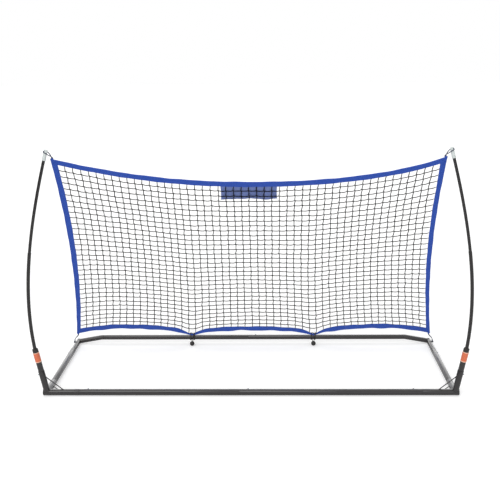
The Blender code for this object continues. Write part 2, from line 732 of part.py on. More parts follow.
def slab(shell, cells, points, thickness):
    """A flat piece from cells of a grid of points, with a wall wherever a cell has no neighbour."""
    verts = {}
    for cell in cells:
        for key in corners_of(cell):
            if key not in verts:
                lift = Vector((0, 0, thickness / 2))
                verts[key] = (shell.verts.new(points[key] - lift), shell.verts.new(points[key] + lift))
    steps = ((0, -1), (1, 0), (0, 1), (-1, 0))
    for cell in cells:
        ring = corners_of(cell)
        shell.faces.new([verts[key][0] for key in ring])
        shell.faces.new([verts[key][1] for key in ring])
        for k, (i, j) in enumerate(steps):
            if (cell[0] + i, cell[1] + j) in cells:
                continue
            a, b = verts[ring[k]], verts[ring[(k + 1) % 4]]
            shell.faces.new((a[0], b[0], b[1], a[1]))


def corners_of(cell):
    i, j = cell
    return ((i, j), (i + 1, j), (i + 1, j + 1), (i, j + 1))


def add_net(plane):
    """Knotted net, its hem of four webbing strips and the cloth panel, flat in the frame of the plane."""
    across = lattice_values(COLUMNS, STRAND_WIDTH / 2 / NET_BOTTOM_WIDTH)
    up = lattice_values(ROWS, STRAND_WIDTH / 2 / NET_LENGTH)
    inset = HEM_WIDTH + NET_GAP
    points = {(i, j): net_point(u, v, inset) for i, u in enumerate(across) for j, v in enumerate(up)}
    cells = {
        (i, j) for i in range(len(across) - 1) for j in range(len(up) - 1) if i % 2 == 0 or j % 2 == 0
    }
    shell = bmesh.new()
    slab(shell, cells, points, STRAND_THICKNESS)
    add_object("net_mesh", finish_mesh("net_mesh", shell), "black_twine", parent=plane)

    for which in ("top", "foot", "left", "right"):
        stops = hem_stops(which)
        rows = {(i, j): edge(which, t, HEM_WIDTH * j) for i, t in enumerate(stops) for j in (0, 1)}
        shell = bmesh.new()
        slab(shell, {(i, 0) for i in range(len(stops) - 1)}, rows, HEM_THICKNESS)
        name = "bottom" if which == "foot" else which
        add_object(f"hem_{name}", finish_mesh(f"hem_{name}", shell), "blue_webbing", parent=plane)

    high = edge("top", 0.5, HEM_WIDTH).y + PANEL_LAP
    back = -(STRAND_THICKNESS + PANEL_THICKNESS) / 2 - TOUCH_GAP
    low = high - PANEL_HEIGHT
    corners = {(i, j): Vector(((i - 0.5) * PANEL_WIDTH, (low, high)[j], back)) for i in (0, 1) for j in (0, 1)}
    shell = bmesh.new()
    slab(shell, {(0, 0)}, corners, PANEL_THICKNESS)
    add_object("top_panel", finish_mesh("top_panel", shell), "blue_cloth", parent=plane)


def add_top_loop(name, side):
    """Elastic loop from the net's top corner, through the slot, down the outside and back round the cap."""
    frame = tip_frame(side)
    rim = CAP_TOP_RADIUS / math.cos(math.pi / CAP_SIDES)
    off = TOUCH_GAP + TOP_CORD_RADIUS
    clear = CAP_RADIUS / math.cos(math.pi / CAP_SIDES) + off
    floor = -SLOT_DEPTH
    half = off * math.sqrt(0.5)
    path = [
        (floor + half, rim + half, 0), (floor + off, rim - off, 0), (floor + off, 0, 0),
        (floor + off, off - rim, 0), (floor + half, -rim - half, 0), (floor - off, -clear, 0),
    ]
    for i in range(1, 4):
        angle = -math.pi / 2 + i * math.pi / 4
        path.append((floor - off - i * LOOP_FALL, clear * math.sin(angle), side * clear * math.cos(angle)))
    first, second = (hem_seat(side, "top", gap, TOP_CORD_RADIUS) for gap in TOP_SEATS)
    points = [*reversed(first)] + [frame @ Vector(point) for point in path] + [*second]
    made = swept_mesh(f"top_loop_{name}", smooth_path(points, CORD_STEPS), TOP_CORD_RADIUS, CORD_SIDES)
    add_object(f"top_loop_{name}", made, "grey_cord")


def hem_seat(side, which, distance, radius):
    """Two points that lead a cord square on to a hem's edge, near its corner. The last one meets it."""
    stops = hem_stops(which)
    stops = stops if side < 0 else [1 - t for t in stops]
    corner, start, end = (edge(which, t, 0) for t in (0 if side < 0 else 1, stops[1], stops[2]))
    along = (end - start).normalized()
    place = start + along * (distance - (start - corner).length)
    normal = Vector((-along.y, along.x, 0))
    normal = normal if normal.y * (1 if which == "top" else -1) > 0 else -normal
    return [net_frame() @ (place + normal * (TOUCH_GAP + reach)) for reach in (3 * radius, 0)]


def add_bottom_loop(name, side):
    """A hook on the rear corner, and the elastic loop that holds the net's bottom corner down to it."""
    along = side_direction()
    corner = Vector((side * CORNER_X, REAR_Y, CORNER_Z))
    base = corner - along * HOOK_BEFORE_END + Vector((side * (REAR_RADIUS + TOUCH_GAP), 0, 0))
    neck = HOOK_LENGTH - HOOK_HEAD
    profile = [
        (0, 0), (0, HOOK_RADIUS), (neck, HOOK_RADIUS), (neck, HOOK_HEAD_RADIUS),
        (HOOK_LENGTH - HOOK_ROUND, HOOK_HEAD_RADIUS), (HOOK_LENGTH, HOOK_HEAD_RADIUS - HOOK_ROUND),
        (HOOK_LENGTH, 0),
    ]
    turned(f"corner_hook_{name}", profile, base, (side, 0, 0), "black_plastic", PIN_SIDES, loop=False)

    centre = base + Vector((side * neck / 2, 0, 0))
    around = HOOK_RADIUS / math.cos(math.pi / PIN_SIDES) + TOUCH_GAP + CORD_RADIUS
    under = []
    for i in range(HOOK_WRAP_STEPS + 1):
        angle = HOOK_WRAP_START - i * (math.pi + 2 * HOOK_WRAP_START) / HOOK_WRAP_STEPS
        under.append(centre + Vector((0, math.cos(angle), math.sin(angle))) * around)
    over = REAR_RADIUS / math.cos(math.pi / TUBE_SIDES) + TOUCH_GAP + CORD_RADIUS
    behind, before = (centre + Vector((0, way * around, over)) for way in (1, -1))
    far, near = (hem_seat(side, "foot", gap, CORD_RADIUS) for gap in BOTTOM_SEATS)
    points = [*reversed(far), behind, *under, before, *near]
    made = swept_mesh(f"bottom_loop_{name}", smooth_path(points, CORD_STEPS), CORD_RADIUS, CORD_SIDES)
    add_object(f"bottom_loop_{name}", made, "grey_cord")


def belt(first, first_radius, second, second_radius, steps):
    """The closed line round two circles in the YZ plane, as (y, z) pairs."""
    gap = second - first
    bearing = math.atan2(gap.y, gap.x)
    open_by = math.acos((first_radius - second_radius) / gap.length)
    points = []
    for centre, radius, start, sweep in (
        (first, first_radius, bearing + open_by, 2 * math.pi - 2 * open_by),
        (second, second_radius, bearing - open_by, 2 * open_by),
    ):
        for i in range(steps + 1):
            angle = start + sweep * i / steps
            points.append((centre.x + radius * math.cos(angle), centre.y + radius * math.sin(angle)))
    return points


def add_tie(name, side):
    """The stretch of a hold-down cord that goes through the net and ties the hem to the rear bar."""
    bar = Vector((REAR_Y, REAR_BAR_Z))
    around = REAR_RADIUS / math.cos(math.pi / TUBE_SIDES) + TOUCH_GAP + CORD_RADIUS
    x = side * (TIE_X + TIE_OFFSET)
    above = net_frame() @ Vector((x, HEM_WIDTH + TIE_ABOVE_HEM, 0))
    turn = Vector((above.y, above.z))
    path = [Vector((x, y, z)) for y, z in belt(bar, around, turn, TIE_TURN_RADIUS, WRAP_STEPS)]
    tie = swept_mesh(f"tie_loop_{name}", path, CORD_RADIUS, CORD_SIDES, closed=True)
    add_object(f"tie_loop_{name}", tie, "grey_cord")


def polar(x, radius, angle):
    return Vector((x, radius * math.cos(angle), radius * math.sin(angle)))


def add_hanging_ball(name, side):
    """The rest of the hold-down cord, which hangs on the bar and swings about it with its ball."""
    pivot = bpy.data.objects.new(f"ball_pivot_{name}", None)
    bpy.context.scene.collection.objects.link(pivot)
    pivot.location = (side * TIE_X, REAR_Y, REAR_BAR_Z)
    centre = Vector((0, -BALL_FORWARD, BALL_RADIUS + BALL_FLOOR_GAP - REAR_BAR_Z))
    bearing = math.atan2(centre.z, centre.y)
    around = REAR_RADIUS / math.cos(math.pi / TUBE_SIDES) + TOUCH_GAP + CORD_RADIUS
    meet = centre.length - BALL_RADIUS * BALL_CORD_DEPTH
    leave = bearing + math.acos(around / meet)
    turn = 2 * (bearing + math.pi - leave)
    wrap = []
    for i in range(WRAP_STEPS + 1):
        t = i / WRAP_STEPS
        wrap.append(polar(BALL_CORD_SPREAD * (2 * t - 1), around, leave + turn * t))
    first = ball_surface(wrap[0], polar(-BALL_CORD_SPREAD, meet, bearing), centre)
    last = ball_surface(wrap[-1], polar(BALL_CORD_SPREAD, meet, bearing), centre)
    strand = swept_mesh(f"ball_cord_{name}", [first] + wrap + [last], CORD_RADIUS, CORD_SIDES)
    add_object(f"ball_cord_{name}", strand, "grey_cord", parent=pivot)

    profile = []
    for i in range(BALL_RINGS + 1):
        angle = math.pi * i / BALL_RINGS
        radius = 0 if i in (0, BALL_RINGS) else BALL_RADIUS * math.sin(angle)
        profile.append((-BALL_RADIUS * math.cos(angle), radius))
    made = turned_mesh(f"ball_{name}", profile, TUBE_SIDES, loop=False)
    turn = Matrix.Rotation(bearing, 4, "X") @ Matrix.Rotation(math.pi / 2, 4, "Z")
    add_object(f"ball_{name}", made, "black_rubber", Matrix.Translation(centre) @ turn, parent=pivot)


def ball_surface(start, goal, centre):
    """Where a cord's end lies against the ball, on its way from a point to a goal inside it."""
    ahead = (goal - start).normalized()
    offset = start - centre
    reach = BALL_RADIUS / math.cos(math.pi / TUBE_SIDES) + 2 * TOUCH_GAP
    half = offset.dot(ahead)
    return start + ahead * (-half - math.sqrt(half * half - offset.length_squared + reach * reach))


def build():
    for old in list(bpy.data.objects):
        bpy.data.objects.remove(old)
    snap = button_mesh()
    sockets = add_base(snap)
    for name, side in SIDES:
        add_pole(name, side, snap, sockets[name])
        add_top_loop(name, side)
        add_bottom_loop(name, side)
        add_tie(name, side)
        add_hanging_ball(name, side)
    plane = bpy.data.objects.new("net_plane", None)
    bpy.context.scene.collection.objects.link(plane)
    plane.location = net_frame().to_translation()
    plane.rotation_euler = net_frame().to_euler()
    add_net(plane)


build()
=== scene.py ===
import math
import random

import bpy
from mathutils import Matrix, Vector


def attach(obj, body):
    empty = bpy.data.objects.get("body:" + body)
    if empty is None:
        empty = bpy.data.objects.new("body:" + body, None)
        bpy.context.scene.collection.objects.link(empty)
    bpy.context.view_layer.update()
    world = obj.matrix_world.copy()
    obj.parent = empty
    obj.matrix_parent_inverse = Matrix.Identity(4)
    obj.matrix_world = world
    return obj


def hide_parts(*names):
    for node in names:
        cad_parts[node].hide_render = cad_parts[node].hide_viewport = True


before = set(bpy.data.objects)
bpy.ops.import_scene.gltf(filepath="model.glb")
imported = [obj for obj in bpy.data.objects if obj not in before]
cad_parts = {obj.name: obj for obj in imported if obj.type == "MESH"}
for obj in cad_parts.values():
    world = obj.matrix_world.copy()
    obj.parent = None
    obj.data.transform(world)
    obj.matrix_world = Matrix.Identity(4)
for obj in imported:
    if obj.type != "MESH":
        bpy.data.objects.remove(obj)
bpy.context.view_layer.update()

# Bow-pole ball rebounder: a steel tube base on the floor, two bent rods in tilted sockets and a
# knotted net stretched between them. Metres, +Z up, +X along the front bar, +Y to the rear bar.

# Camera. It stands where the photographer stood, with the same short telephoto view. The place was
# found by fitting the four corners of the base to the photograph.

CAMERA_PLACE = (0.1177, -5.1335, 2.0778)
CAMERA_LENS = 62.11
CAMERA_SENSOR = 36
LOOK_DOWN = math.radians(14.232)
LOOK_LEFT = math.radians(1.342)
CAMERA_TILT = math.radians(-0.565)

bpy.ops.object.camera_add(location=CAMERA_PLACE)
camera = bpy.context.object
camera.data.lens = CAMERA_LENS
camera.data.sensor_width = CAMERA_SENSOR
camera_turn = Matrix.Rotation(LOOK_LEFT, 4, "Z") @ Matrix.Rotation(math.pi / 2 - LOOK_DOWN, 4, "X")
camera.rotation_euler = (camera_turn @ Matrix.Rotation(CAMERA_TILT, 4, "Z")).to_euler()
bpy.context.scene.camera = camera
bpy.context.scene.view_settings.view_transform = "Standard"

# Floor and light. The photograph has a seamless white sweep under broad soft light from above and
# in front. Gloss mirrors the white backdrop, a softbox overhead and the dim room behind the camera.

FLOOR_SIZE = 60
FLOOR_GLOW = 0.44
SKY_STRENGTH = 0.42
BACKDROP_STRENGTH = 2.2
SOFTBOX_STRENGTH = 1.2
ROOM_STRENGTH = 0.05
KEY_STRENGTH = 1.45
FILL_STRENGTH = 1.00
RIM_STRENGTH = 0.55
BACKDROP_RISE = (0.05, 0.65)
SOFTBOX_RISE = (0.35, 0.80)
RAY_KINDS = ("Is Camera Ray", "Is Transmission Ray", "Is Glossy Ray")


def linear(code):
    """An sRGB hex colour as linear red, green and blue, with an alpha of 1."""
    parts = [int(code[i:i + 2], 16) / 255 for i in (1, 3, 5)]
    return (*[p / 12.92 if p <= 0.04045 else ((p + 0.055) / 1.055) ** 2.4 for p in parts], 1.0)


def add_node(tree, kind, inputs=None, out=0, **settings):
    """Adds a shader node with its settings, and gives one of its outputs.

    Each input is a number, a hex colour or the output of another node, which is linked. Inputs that
    share a name go by their number, as 6 and 7 do for the two colours of a Mix.
    """
    made = tree.nodes.new("ShaderNode" + kind)
    for name, value in settings.items():
        setattr(made, name, value)
    for name, value in (inputs or {}).items():
        if isinstance(value, bpy.types.NodeSocket):
            tree.links.new(value, made.inputs[name])
        else:
            made.inputs[name].default_value = linear(value) if isinstance(value, str) else value
    return made.outputs[out] if made.outputs else None


def start_tree(owner):
    """Empties the node tree of a new material or world."""
    owner.use_nodes = True
    owner.node_tree.nodes.clear()
    return owner.node_tree


def new_material(name):
    made = bpy.data.materials.new(name)
    return made, start_tree(made)


bpy.ops.mesh.primitive_plane_add(size=FLOOR_SIZE)
floor = bpy.context.object
floor.name = "studio_floor"
floor_paint, tree = new_material("white_floor_paint")
paint = add_node(tree, "BsdfDiffuse", {"Color": "#E2E2E2"})
glow = add_node(tree, "Emission", {"Color": "#FFFFFF", "Strength": FLOOR_GLOW})
lifted = add_node(tree, "AddShader", {0: paint, 1: glow})
camera_ray, clear_ray, glossy_ray = (add_node(tree, "LightPath", out=kind) for kind in RAY_KINDS)
direct = add_node(tree, "Math", {0: camera_ray, 1: clear_ray}, use_clamp=True)
seen = add_node(tree, "Math", {0: direct, 1: glossy_ray}, operation="MAXIMUM")
add_node(tree, "OutputMaterial", {"Surface": add_node(tree, "MixShader", {0: seen, 1: paint, 2: lifted})})
floor.data.materials.append(floor_paint)

studio = bpy.data.worlds.new("white_studio")
bpy.context.scene.world = studio
tree = start_tree(studio)
way = add_node(tree, "TexCoord", out="Generated")
backward, upward = (add_node(tree, "SeparateXYZ", {0: way}, out=axis) for axis in ("Y", "Z"))
backdrop = add_node(tree, "MapRange", {
    "Value": backward, "From Min": BACKDROP_RISE[0], "From Max": BACKDROP_RISE[1],
    "To Min": ROOM_STRENGTH, "To Max": BACKDROP_STRENGTH,
})
softbox = add_node(tree, "MapRange", {
    "Value": upward, "From Min": SOFTBOX_RISE[0], "From Max": SOFTBOX_RISE[1],
    "To Min": 0.0, "To Max": SOFTBOX_STRENGTH,
})
mirrored = add_node(tree, "Math", {0: backdrop, 1: softbox})
camera_ray, clear_ray, glossy_ray = (add_node(tree, "LightPath", out=kind) for kind in RAY_KINDS)
indirect = add_node(tree, "MapRange", {"Value": glossy_ray, "To Min": SKY_STRENGTH, "To Max": mirrored})
direct = add_node(tree, "Math", {0: camera_ray, 1: clear_ray}, use_clamp=True)
level = add_node(tree, "MapRange", {"Value": direct, "To Min": indirect, "To Max": 1.0})
sky = add_node(tree, "Background", {"Color": "#FFFFFF", "Strength": level})
add_node(tree, "OutputWorld", {"Surface": sky})

for strength, spread_angle, toward in (
    (KEY_STRENGTH, 50, (0.45, 0.80, -0.75)),
    (FILL_STRENGTH, 60, (-0.40, 0.90, -0.12)),
    (RIM_STRENGTH, 40, (0.10, -0.45, -1.00)),
):
    bpy.ops.object.light_add(type="SUN")
    lamp = bpy.context.object
    lamp.data.energy = strength
    lamp.data.angle = math.radians(spread_angle)
    lamp.rotation_euler = Vector(toward).to_track_quat("-Z", "Y").to_euler()

# Base tubes. Round steel tube, welded at the corners, coated with black powder and baked. Each
# tube slips into the next, and they get thinner from the front bar to the rear bar.

CORNER_X = 1.200
FRONT_Y = -0.420
REAR_Y = 0.450
TUBE_WALL = 0.0012
SLIP_GAP = 0.0003
TOUCH_GAP = 0.0003
FRONT_RADIUS = 0.019
SIDE_RADIUS = FRONT_RADIUS - TUBE_WALL - SLIP_GAP
REAR_RADIUS = SIDE_RADIUS - TUBE_WALL - SLIP_GAP
FRONT_STUB = 0.192
FRONT_OVERHANG = 0.018
SIDE_STUB = 0.157
REAR_SIDE_ARM = 0.170
REAR_ARM = 0.175
REAR_BAR_Z = 0.046
INSERT = 0.085
SWAGE_STEP = 0.0012
SWAGE_FILLET = (0.0010, 0.0004)
SWAGE_INSIDE = (0.003, 0.005)
END_TAPER = (0.002, 0.0004)
FRONT_SEAM_X = -0.064
REAR_SEAM_X = -0.032
BASE_DEPTH = REAR_Y - FRONT_Y
SIDE_FALL = (FRONT_RADIUS - SIDE_RADIUS) / (BASE_DEPTH - REAR_SIDE_ARM - SIDE_STUB)
FRONT_Z = FRONT_RADIUS + SIDE_FALL * SIDE_STUB
CORNER_Z = FRONT_Z - SIDE_FALL * BASE_DEPTH
FRONT_JOINT_X = CORNER_X - FRONT_STUB
REAR_JOINT_X = CORNER_X - REAR_ARM
ALONG_SIDE = Vector((0, 1, -SIDE_FALL)).normalized()
SIDES = (("left", -1), ("right", 1))
TUBE_SIDES = 56
RIM_ROUNDING = 0.0004
SHARP_ANGLE = math.radians(40)
CUTTER_BEFORE = 0.075
CUTTER_LENGTH = 0.30


def select_only(piece):
    bpy.ops.object.select_all(action="DESELECT")
    piece.select_set(True)
    bpy.context.view_layer.objects.active = piece


def settle(piece):
    """Puts a piece's place, turn and size into its mesh."""
    select_only(piece)
    bpy.ops.object.transform_apply(location=True, rotation=True, scale=True)


def turned(profile, origin, way, sides=TUBE_SIDES, hollow=True):
    """Turns (distance, radius) rings about a line: a circle that is extruded and resized ring by ring.

    A hollow shape's last ring is bridged to its first. The other kind ends in closed points.
    """
    bpy.ops.object.select_all(action="DESELECT")
    start = 0 if hollow else 1
    first, radius = profile[start]
    bpy.ops.mesh.primitive_circle_add(vertices=sides, radius=radius, fill_type="NOTHING")
    piece = bpy.context.object
    bpy.ops.object.mode_set(mode="EDIT")
    bpy.ops.mesh.select_all(action="SELECT")
    bpy.ops.transform.translate(value=(0, 0, first))
    if not hollow:
        bpy.ops.mesh.extrude_edges_move(TRANSFORM_OT_translate={"value": (0, 0, profile[0][0] - first)})
        bpy.ops.mesh.merge(type="CENTER")
        bpy.ops.mesh.select_all(action="DESELECT")
        bpy.ops.mesh.select_non_manifold()
    ends = profile[start + 1:] if hollow else profile[2:-1]
    for distance, new in ends:
        bpy.ops.mesh.extrude_edges_move(TRANSFORM_OT_translate={"value": (0, 0, distance - first)})
        bpy.ops.transform.resize(value=(new / radius, new / radius, 1))
        first, radius = distance, new
    if hollow:
        bpy.ops.mesh.select_all(action="DESELECT")
        bpy.ops.mesh.select_non_manifold()
        bpy.ops.mesh.bridge_edge_loops()
    else:
        bpy.ops.mesh.extrude_edges_move(TRANSFORM_OT_translate={"value": (0, 0, profile[-1][0] - first)})
        bpy.ops.mesh.merge(type="CENTER")
    bpy.ops.mesh.select_all(action="SELECT")
    bpy.ops.mesh.normals_make_consistent(inside=False)
    bpy.ops.object.mode_set(mode="OBJECT")
    piece.location = origin
    piece.rotation_euler = Vector(way).to_track_quat("Z", "Y").to_euler()
    settle(piece)
    return piece


def apply_modifier(piece, kind, **settings):
    """Adds a modifier with its settings and applies it."""
    select_only(piece)
    step = piece.modifiers.new(kind.lower(), kind)
    for name, value in settings.items():
        setattr(step, name, value)
    bpy.ops.object.modifier_apply(modifier=step.name)


def rounded(piece, width=RIM_ROUNDING):
    """Rounds the sharp rims of a piece, as deburring and the coating leave them."""
    apply_modifier(piece, "BEVEL", width=width, segments=2, limit_method="ANGLE", angle_limit=SHARP_ANGLE)
    return piece


def carve(piece, *cutters):
    for cutter in cutters:
        apply_modifier(piece, "BOOLEAN", operation="DIFFERENCE", object=cutter, solver="EXACT")
    return piece


def cutter_along(origin, way, length, radius):
    """A plain rod that other pieces are cut with. It is deleted once they are."""
    return turned([(0, 0), (0, radius), (length, radius), (length, 0)], origin, way, hollow=False)


def pipe(length, radius):
    bore = radius - TUBE_WALL
    return [(0, bore), (0, radius), (length, radius), (length, bore)]


def swaged_pipe(length, radius):
    """A tube whose far end is drawn down to slip inside the next one."""
    small = radius - TUBE_WALL - SLIP_GAP
    end = length + INSERT
    return [
        (0, radius - TUBE_WALL), (0, radius), (length - SWAGE_STEP, radius),
        (length, small + SWAGE_FILLET[1]), (length + SWAGE_FILLET[0], small),
        (end - END_TAPER[0], small), (end, small - END_TAPER[1]), (end, small - TUBE_WALL),
        (length - SWAGE_INSIDE[0], small - TUBE_WALL), (length - SWAGE_INSIDE[1], radius - TUBE_WALL),
    ]


def front_corner(side):
    return Vector((side * CORNER_X, FRONT_Y, FRONT_Z))


def bar_end(side):
    """The open end of the front bar, beyond the corner."""
    return Vector((side * (CORNER_X + FRONT_OVERHANG), FRONT_Y, FRONT_Z))


def end_material(tree, relief, strength, distance, inputs):
    """Ends a material with the relief of its skin, its shader and its output."""
    skin = add_node(tree, "Bump", {"Height": relief, "Strength": strength, "Distance": distance})
    shader = add_node(tree, "BsdfPrincipled", {**inputs, "Normal": skin})
    add_node(tree, "OutputMaterial", {"Surface": shader})


# Baked powder coat on steel: a black semi-gloss skin with fine orange peel, which gives the tubes
# long soft streaks of light. A peel of 1.4 mm is as fine as shows.
CLOUD_SIZE = 0.0714
PEEL_SIZE = 0.00143
powder_coat, tree = new_material("baked_black_powder_coat")
place = add_node(tree, "TexCoord", out="Object")
cloud = add_node(tree, "TexNoise", {"Vector": place, "Scale": 1 / CLOUD_SIZE, "Detail": 5})
peel = add_node(tree, "TexNoise", {"Vector": place, "Scale": 1 / PEEL_SIZE, "Detail": 2})
tone = add_node(tree, "Mix", {0: cloud, 6: "#191617", 7: "#242122"}, out=2, data_type="RGBA")
gloss = add_node(tree, "MapRange", {
    "Value": cloud, "From Min": 0.3, "From Max": 0.7, "To Min": 0.17, "To Max": 0.27,
})
end_material(tree, peel, 0.25, 0.0001, {
    "Base Color": tone, "Roughness": gloss, "Specular IOR Level": 0.55,
})

front_stubs, side_stubs, side_tubes, front_bars, rear_bars, corner_lines = {}, {}, {}, {}, {}, {}
for name, side in SIDES:
    end, centre, inward = bar_end(side), front_corner(side), Vector((-side, 0, 0))
    front_stubs[name] = rounded(turned(swaged_pipe(FRONT_STUB + FRONT_OVERHANG, FRONT_RADIUS), end, inward))
    cut_radius = FRONT_RADIUS + TOUCH_GAP
    front_line = cutter_along(end - inward * CUTTER_BEFORE, inward, CUTTER_LENGTH, cut_radius)
    side_line = cutter_along(centre, ALONG_SIDE, CUTTER_LENGTH, cut_radius)
    corner_lines[name] = (front_line, side_line)
    side_stubs[name] = carve(rounded(turned(pipe(SIDE_STUB, FRONT_RADIUS), centre, ALONG_SIDE)), front_line)
    start = centre + ALONG_SIDE * (SIDE_STUB - INSERT)
    length = BASE_DEPTH / ALONG_SIDE.y - SIDE_STUB - REAR_SIDE_ARM + INSERT
    side_tubes[name] = rounded(turned(pipe(length, SIDE_RADIUS), start, ALONG_SIDE))

for bars, joint_x, seam_x, y, z, radius in (
    (front_bars, FRONT_JOINT_X, FRONT_SEAM_X, FRONT_Y, FRONT_Z, FRONT_RADIUS),
    (rear_bars, REAR_JOINT_X, REAR_SEAM_X, REAR_Y, REAR_BAR_Z, REAR_RADIUS),
):
    left, right = Vector((TOUCH_GAP - joint_x, y, z)), Vector((seam_x + TOUCH_GAP, y, z))
    bars["left"] = rounded(turned(swaged_pipe(seam_x - left.x, radius), left, (1, 0, 0)))
    bars["right"] = rounded(turned(pipe(joint_x - TOUCH_GAP - right.x, radius), right, (1, 0, 0)))

# Rear corners. A straight arm runs inside the side tube, and a second tube is coped and welded to
# it, bent up over a former and drawn down at its end to enter the rear bar.

REAR_BEND_BACK = 0.012
REAR_BEND_RADIUS = 0.055
END_ROUNDING = 0.003
ARM_PINHOLE = 0.0004
JOINT_STEP = 0.0008
REAR_END_TAPER = 0.0005
BEND_STEPS = 10
MERGE_DISTANCE = 0.00001


def discard(*helpers):
    for helper in helpers:
        bpy.data.objects.remove(helper)


def round_over(top, radius, rounding, steps=6):
    """Rings of a quarter round, from the widest one up to the level of the top."""
    angles = [math.radians(90 * k / steps) for k in range(steps + 1)]
    return [(top - rounding * (1 - math.sin(a)), radius - rounding * (1 - math.cos(a))) for a in angles]


def merge_points(piece):
    """Merges points that lie together and turns the faces outwards."""
    select_only(piece)
    bpy.ops.object.mode_set(mode="EDIT")
    bpy.ops.mesh.select_all(action="SELECT")
    bpy.ops.mesh.remove_doubles(threshold=MERGE_DISTANCE)
    bpy.ops.mesh.normals_make_consistent(inside=False)
    bpy.ops.object.mode_set(mode="OBJECT")


def swept(lines, radius, resolution=6, closed=False, swell=None):
    """Round rods or cords along lines of points: a bevelled curve that is turned into a closed mesh.

    Its own map runs along the line in metres one way, and once round it the other.
    """
    curve = bpy.data.curves.new("swept", "CURVE")
    curve.dimensions = "3D"
    curve.bevel_depth = radius
    curve.bevel_resolution = resolution
    curve.use_fill_caps = not closed
    longest = 0
    for line in lines:
        spline = curve.splines.new("POLY")
        spline.points.add(len(line) - 1)
        for i, point in enumerate(line):
            spline.points[i].co = (*point, 1)
            spline.points[i].radius = swell[i] if swell else 1
        spline.use_cyclic_u = closed
        longest = max(longest, sum((b - a).length for a, b in zip(line, line[1:])))
    piece = bpy.data.objects.new("swept", curve)
    bpy.context.scene.collection.objects.link(piece)
    select_only(piece)
    bpy.ops.object.convert(target="MESH")
    piece = bpy.context.object
    for corner in piece.data.uv_layers.active.data:
        corner.uv.y *= longest
    merge_points(piece)
    return piece


def rear_corner(side):
    return Vector((side * CORNER_X, REAR_Y, CORNER_Z))


def rear_bend(side):
    """The joint with the rear bar, the bend before it, and the way that the inner arm rises to it."""
    joint = Vector((side * REAR_JOINT_X, REAR_Y, REAR_BAR_Z))
    bend = joint + Vector((side, 0, 0)) * REAR_BEND_BACK
    return joint, bend, (bend - rear_corner(side)).normalized()


rear_corners = {}
for name, side in SIDES:
    corner, inward = rear_corner(side), Vector((-side, 0, 0))
    joint, bend, slope = rear_bend(side)
    inner_end = REAR_SIDE_ARM + INSERT
    length = inner_end + REAR_RADIUS
    bore, inner_length = REAR_RADIUS - TUBE_WALL, length - TUBE_WALL
    dome = round_over(length, REAR_RADIUS, END_ROUNDING)
    arm_profile = [(0, bore), (0, REAR_RADIUS), *dome, (length, ARM_PINHOLE), (inner_length, ARM_PINHOLE),
                   (inner_length, bore - END_ROUNDING), (inner_length - END_ROUNDING, bore)]
    straight = turned(arm_profile, corner - ALONG_SIDE * inner_end, ALONG_SIDE)
    angle = slope.angle(inward)
    reach = REAR_BEND_RADIUS * math.tan(angle / 2)
    lift = (inward - slope * inward.dot(slope)).normalized()
    turn_centre = bend - slope * reach + lift * REAR_BEND_RADIUS
    line = [corner]
    for k in range(BEND_STEPS + 1):
        part = angle * k / BEND_STEPS
        line.append(turn_centre + (slope * math.sin(part) - lift * math.cos(part)) * REAR_BEND_RADIUS)
    small = REAR_RADIUS - TUBE_WALL - SLIP_GAP
    line += [joint + inward * past for past in (-JOINT_STEP, 0, INSERT - END_TAPER[0], INSERT)]
    swell = [1] * (BEND_STEPS + 3) + [small / REAR_RADIUS] * 2 + [(small - REAR_END_TAPER) / REAR_RADIUS]
    bent = swept([line], REAR_RADIUS, resolution=12, swell=swell)
    core_start = corner - ALONG_SIDE * (CUTTER_LENGTH / 2)
    core = cutter_along(core_start, ALONG_SIDE, CUTTER_LENGTH, REAR_RADIUS - TUBE_WALL / 2)
    carve(bent, core)
    apply_modifier(straight, "BOOLEAN", operation="UNION", object=bent, solver="EXACT")
    rear_corners[name] = straight
    discard(bent, core)

# Pole sockets and brace rods. A short tube is welded on each front corner, tilted out and forward,
# and held by a steel rod down to the front bar. Another rod ties the corner across.

SOCKET_TILT = (0.165, -0.100)
SOCKET_RADIUS = 0.0185
SOCKET_LENGTH = 0.145
BRACE_RADIUS = 0.003
SOCKET_BRACE_AT = 0.120
SOCKET_BRACE_REACH = 0.115
CORNER_BRACE_X = 0.088
CORNER_BRACE_Y = 0.105
SMOOTH_ANGLE = math.radians(35)


def dress(piece, name, finish, slot, *nodes, body="frame"):
    """Names a piece, gives it its finish, and hangs it on its body in place of its plain solids."""
    piece.name = name
    piece.data.name = name
    piece.data.materials.clear()
    piece.data.materials.append(finish)
    select_only(piece)
    bpy.ops.object.shade_smooth_by_angle(angle=SMOOTH_ANGLE)
    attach(piece, body)
    if nodes:
        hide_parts(*nodes)
    return piece


def socket_axis(side):
    """Where the axis of a pole socket leaves the front bar, and the way that it points."""
    return front_corner(side), Vector((side * SOCKET_TILT[0], SOCKET_TILT[1], 1)).normalized()


def brace_ends(side):
    """The ends of the rod from the socket to the front bar, and of the rod across the corner."""
    origin, up = socket_axis(side)
    high = origin + up * SOCKET_BRACE_AT
    low = Vector((side * (CORNER_X - SOCKET_BRACE_REACH), FRONT_Y, FRONT_Z))
    from_side = origin + ALONG_SIDE * CORNER_BRACE_Y
    to_front = Vector((side * (CORNER_X - CORNER_BRACE_X), FRONT_Y, FRONT_Z))
    return (high, low), (from_side, to_front)


